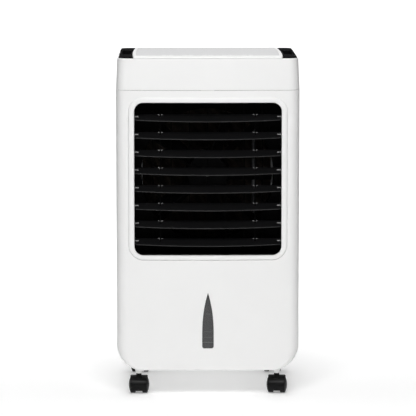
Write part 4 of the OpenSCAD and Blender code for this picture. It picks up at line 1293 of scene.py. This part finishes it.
@dataclass
class Caster:
    """Hooded caster with two domed wheels."""

    name: str
    radius: float = 18.0
    trail: float = 8.0
    fork: float = 14.6
    tread: float = 10.2
    dome: float = 4.5
    hood: float = 20.6
    hood_half: float = 18.2

    def place(self) -> Matrix:
        """Carries the caster from its stem's foot to its place."""
        x, y, _ = pivot(f"swivel_{self.name}")
        across = joint(f"roll_{self.name}")["axis"]
        return Matrix.Translation((x, y, 0)) @ Matrix.Rotation(math.atan2(across[1], across[0]), 4, "Z")

    def hood_ring(self, x: float, outer: float, inner: float) -> list[Point]:
        """The hood's section at one place along the axle."""
        centre = (self.trail, self.radius)
        curve = arc(centre, outer, 214, 22, 32) + arc(centre, inner, 22, 214, 32)
        return [(x, y, z) for y, z in curve]

    def web_ring(self, x: float, radius: float, floor: float = 7.0) -> list[Point]:
        """The section of the web between the wheels, cut level at its foot."""
        low = math.degrees(math.asin((floor - self.radius) / radius))
        return [(x, y, z) for y, z in arc((self.trail, self.radius), radius, low, 180 - low, 40)]

    def build(self) -> None:
        """Makes the housing and the wheel pair."""
        place = self.place()
        half = self.hood_half
        inner = self.radius + 0.8
        stations = [(-half, 19.5, 19.2), (-half, 19.9, inner), (-half + 0.5, 20.35, inner),
                    (-half + 1.4, self.hood, inner)]
        stations += [(x, self.hood, inner) for x in (-8.0, 0.0, 8.0)]
        stations += [(-x, outer, low) for x, outer, low in reversed(stations[:4])]
        hood = Solid()
        hood.loft([self.hood_ring(*s) for s in stations], ends=True)
        wide = self.fork / 2 - 0.5
        web = sweep([self.web_ring(x, r) for x, r in ((-wide, 18.9), (-wide + 0.5, 19.4), (wide - 0.5, 19.4),
                                                      (wide, 18.9))])
        neck = revolve([(4.1, 30.0), (6.9, 30.0), (6.9, 35.0), (6.7, 37.5), (6.1, 39.6), (5.75, 41.2),
                        (5.75, 43.2), (5.4, 43.7), (4.1, 43.7)], 40)
        axle = revolve([(0.01, -16.4), (3.0, -16.4), (3.0, 16.4), (0.01, 16.4)], 24, Axis.X)
        axle = axle.moved(Matrix.Translation((0, self.trail, self.radius)))
        body = hood.plus(web).plus(neck).plus(axle)
        make(body.moved(place), f"caster_hood_{self.name}", f"caster_{self.name}", CASTER,
             [f"caster_{self.name}_housing"], edge=0.3)
        self.wheels(place)

    def wheels(self, place: Matrix) -> None:
        """Makes the two wheels with a ribbed dome and a hub cap."""
        x0, x1 = self.fork / 2, self.fork / 2 + self.tread
        sphere = (self.radius ** 2 + self.dome ** 2) / (2 * self.dome)

        def face(radius: float) -> float:
            """The dome's place at a radius."""
            return x1 + self.dome - sphere + math.sqrt(sphere ** 2 - radius ** 2)

        profile = [(3.06, x0), (5.5, x0), (5.8, x0 + 0.6), (15.4, x0 + 0.6), (15.8, x0), (16.9, x0),
                   (17.7, x0 + 0.35), (18.0, x0 + 1.0), (18.0, x1 - 0.9), (17.8, x1 - 0.25),
                   (17.3, face(17.3) - 0.1)]
        profile += [(r, face(r)) for r in (16.4, 15.2, 14.2)]
        profile += [(13.9, face(13.9) - 0.35), (13.4, face(13.4) - 0.35), (13.1, face(13.1))]
        profile += [(r, face(r)) for r in (11.5, 10.0, 8.6, 7.4)]
        profile += [(7.1, face(7.1) - 0.4), (6.7, face(6.7) - 0.4), (6.4, face(6.4))]
        profile += [(r, face(r) - 0.02) for r in (5.0, 3.5, 2.0, 0.8, 0.01)]
        right = revolve(profile, 72, Axis.X)
        hub = place @ Matrix.Translation((0, self.trail, self.radius))
        pair = right.moved(hub).plus(right.moved(hub @ Matrix.Rotation(math.pi, 4, "Z")))
        make(pair, f"caster_wheel_pair_{self.name}", f"wheels_{self.name}", WHEEL,
             [f"caster_{self.name}_wheels"], sharp=30)


# ---------------------------------------------------------------- pieces at the back


@dataclass
class RearFittings:
    """Turn latch and drain plug."""

    back: float

    def build(self) -> None:
        """Makes the latch and the plug."""
        self.latch()
        self.plug()

    def latch(self) -> None:
        """Makes the turn button with its raised grip."""
        z = pivot("latch_turn")[2]
        near, far = self.back + 0.3, self.back + 2.2
        shapes = [(20.0, 5.5, near), (20.0, 5.5, far - 0.5), (19.7, 5.2, far - 0.15), (19.2, 4.7, far)]

        def layers(rows: Sequence[Point], corner: int, side: int) -> Solid:
            """Round-ended layers of a half width and a half height at each depth."""
            return sweep([[(u, d, z + v) for u, v in rounded_box(-w, w, -h, h, h - 0.02, corner, side)]
                          for w, h, d in rows])

        solid = layers(shapes, 10, 8)
        grip = [(12.0, 1.8, far - 0.2), (11.6, 1.4, far + 0.9), (11.0, 0.9, far + 1.25)]
        solid.plus(layers(grip, 6, 6))
        stem = revolve([(3.0, near + 0.2), (3.0, self.back - 2.8), (5.0, self.back - 2.9),
                        (5.0, self.back - 6.3), (0.01, self.back - 6.3)], 32, Axis.Y)
        solid.plus(stem.moved(Matrix.Translation((0, 0, z))))
        make(solid, "turn_latch", "latch", BLACK, ["tank_latch"])

    def plug(self) -> None:
        """Makes the rubber plug with a ribbed head."""
        low, high = corners("drain_plug")
        x, _, z = middle("drain_plug")
        rings = []
        for radius, y in ((5.0, low.y), (5.0, self.back + 0.3), (7.7, self.back + 0.3),
                          (7.95, self.back + 0.8), (7.95, high.y - 0.9), (7.4, high.y - 0.2), (6.4, high.y),
                          (5.6, high.y - 0.8), (2.0, high.y - 0.9)):
            ring = []
            for i in range(72):
                a = 2 * math.pi * i / 72
                r = radius - (0.35 if radius > 7 and i % 6 in (0, 1) else 0)
                ring.append((x + r * math.cos(a), y, z + r * math.sin(a)))
            rings.append(ring)
        make(sweep(rings), "plug_head", "plug", RUBBER, ["drain_plug"])


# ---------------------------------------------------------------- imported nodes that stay


@dataclass
class PackedNodes:
    """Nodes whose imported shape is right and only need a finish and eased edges."""

    finishes: dict[str, Finish]
    edge: float = 0.4

    def build(self) -> None:
        """Dresses each node that still shows."""
        for name, finish in self.finishes.items():
            node = frame["nodes"][name]
            node.data.materials.clear()
            node.data.materials.append(finish.material())
            weld = node.modifiers.new("weld", "WELD")
            weld.merge_threshold = 1e-6
            ease_edges(node, self.edge, 2)
            log.info("%s keeps its packed shape", name)


# ---------------------------------------------------------------- studio


@dataclass
class Studio:
    """Camera, lights, floor and surroundings."""

    camera_place: Point = (-68.0, -5660.0, 1090.0)
    target: Point = (0.0, -160.0, 403.4)
    lens: float = 228.8

    def camera(self) -> None:
        """Sets the camera."""
        data = bpy.data.cameras.new("studio_camera")
        data.lens, data.sensor_width = self.lens, SENSOR
        data.clip_end = 60
        camera = bpy.data.objects.new("studio_camera", data)
        camera.location = Vector(self.camera_place) * MM
        away = (Vector(self.target) - Vector(self.camera_place)).normalized()
        camera.rotation_euler = away.to_track_quat("-Z", "Y").to_euler()
        bpy.context.scene.collection.objects.link(camera)
        bpy.context.scene.camera = camera

    def floor(self) -> None:
        """Makes the pale floor, which curves up into a backdrop far behind."""
        profile = [(-6000.0, 0.0), (0.0, 0.0)] + arc((7000.0, 3000.0), 3000.0, -90, 0, 16)
        profile.append((10000.0, 4200.0))
        solid = Solid()
        solid.loft([[(x, y, z) for y, z in profile] for x in (-4000.0, 0.0, 4000.0)], closed=False)
        mesh = bpy.data.meshes.new("floor")
        mesh.from_pydata([tuple(c * MM for c in p) for p in solid.points], [], solid.faces)
        mesh.shade_smooth()
        floor = bpy.data.objects.new("floor", mesh)
        floor.data.materials.append(PAPER.material())
        bpy.context.scene.collection.objects.link(floor)

    def lamp(self, name: str, place: Point, aim: Point, size: Flat, power: float, spread: float) -> None:
        """Adds a soft rectangular lamp.

        Args:
            name: The lamp's name.
            place: Where it hangs.
            aim: What it points at.
            size: Its width and height.
            power: Its power in watts.
            spread: The angle that its grid lets through, in degrees.
        """
        data = bpy.data.lights.new(name, "AREA")
        data.shape, data.size, data.size_y, data.energy = "RECTANGLE", size[0] * MM, size[1] * MM, power
        data.spread = math.radians(spread)
        lamp = bpy.data.objects.new(name, data)
        lamp.location = Vector(place) * MM
        lamp.rotation_euler = (Vector(aim) - Vector(place)).to_track_quat("-Z", "Y").to_euler()
        bpy.context.scene.collection.objects.link(lamp)

    def light(self) -> None:
        """Hangs the lamps and sets the surroundings."""
        self.lamp("key_softbox", (-150.0, -2400.0, 2350.0), (0, 0, 700), (1700.0, 1300.0), 37, 130)
        self.lamp("top_softbox", (0.0, 300.0, 2600.0), (0, -100, 600), (1500.0, 1500.0), 12, 130)
        world = bpy.data.worlds.new("studio_world")
        world.use_nodes = True
        world.node_tree.nodes["Background"].inputs["Color"].default_value = (1, 1, 1, 1)
        world.node_tree.nodes["Background"].inputs["Strength"].default_value = 0.1
        bpy.context.scene.world = world

    def build(self) -> None:
        """Sets up the whole studio."""
        scene = bpy.context.scene
        scene.view_settings.view_transform = "Standard"
        scene.view_settings.look = "None"
        self.camera()
        self.floor()
        self.light()


def kept_finishes() -> dict[str, Finish]:
    """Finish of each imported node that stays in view."""
    # DARK, FAN and MOTOR give the parts inside the outlet painted shade.
    finishes: dict[str, Finish] = {
        "louvre_frame": DARK, "chassis_deck": DARK, "fan_shroud": DARK, "fan_motor": MOTOR,
        "swing_motor": ZINC, "pad_frame": WHITE_INNER, "cooling_pad": PAD,
        "water_distributor": WHITE_INNER, "pump": BLACK, "pump_hose": HOSE, "control_board": BOARD,
        "cord_gland": RUBBER, "casing_screws": ZINC, "caster_stems": ZINC, "rear_grille": WHITE,
        "dust_filter": MESH, "water_tank": TANK, "fan_shaft": ZINC, "fan_impeller": FAN,
        "louvre_tie_bars": DARK, "swing_link_bar": DARK,
    }
    finishes.update({f"swing_vane_{i}": DARK for i in range(1, 8)})
    return finishes


def main() -> None:
    """Builds the studio and then the cooler, one sub-assembly at a time."""
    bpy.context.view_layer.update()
    Studio().build()
    form = CabinetForm.from_frame()
    bezel_low, bezel_high = corners("louvre_bezel")
    outlet = Opening(bezel_high.x - BORDER, bezel_low.z + FOOT, bezel_high.z - BORDER, 19.0, FOOT / BORDER)
    window_low, window_high = corners("level_window")
    window = SightWindow(window_high.z - 3.0, window_low.z + 3.0)
    grille_low, grille_high = corners("rear_grille")
    tank_low, tank_high = corners("water_tank")
    intake = Opening(grille_high.x + 0.3, grille_low.z - 0.3, grille_high.z + 0.3, 6.0)
    bay = Opening(tank_high.x + 0.3, tank_low.z - 0.3, tank_high.z + 0.3, 30.0)
    deck_low, deck_high = corners("control_deck")
    FrontShell(form, outlet, window).build()
    RearBody(form, intake, bay, pivot("latch_turn")[2]).build()
    Top(form, deck_high.z, deck_high.x - 4.0, deck_low.z).build()
    Louvres(outlet).build()
    for name in CORNERS:
        Caster(name).build()
    RearFittings(form.back).build()
    PackedNodes(kept_finishes()).build()


if __name__ == "__main__":
    main()
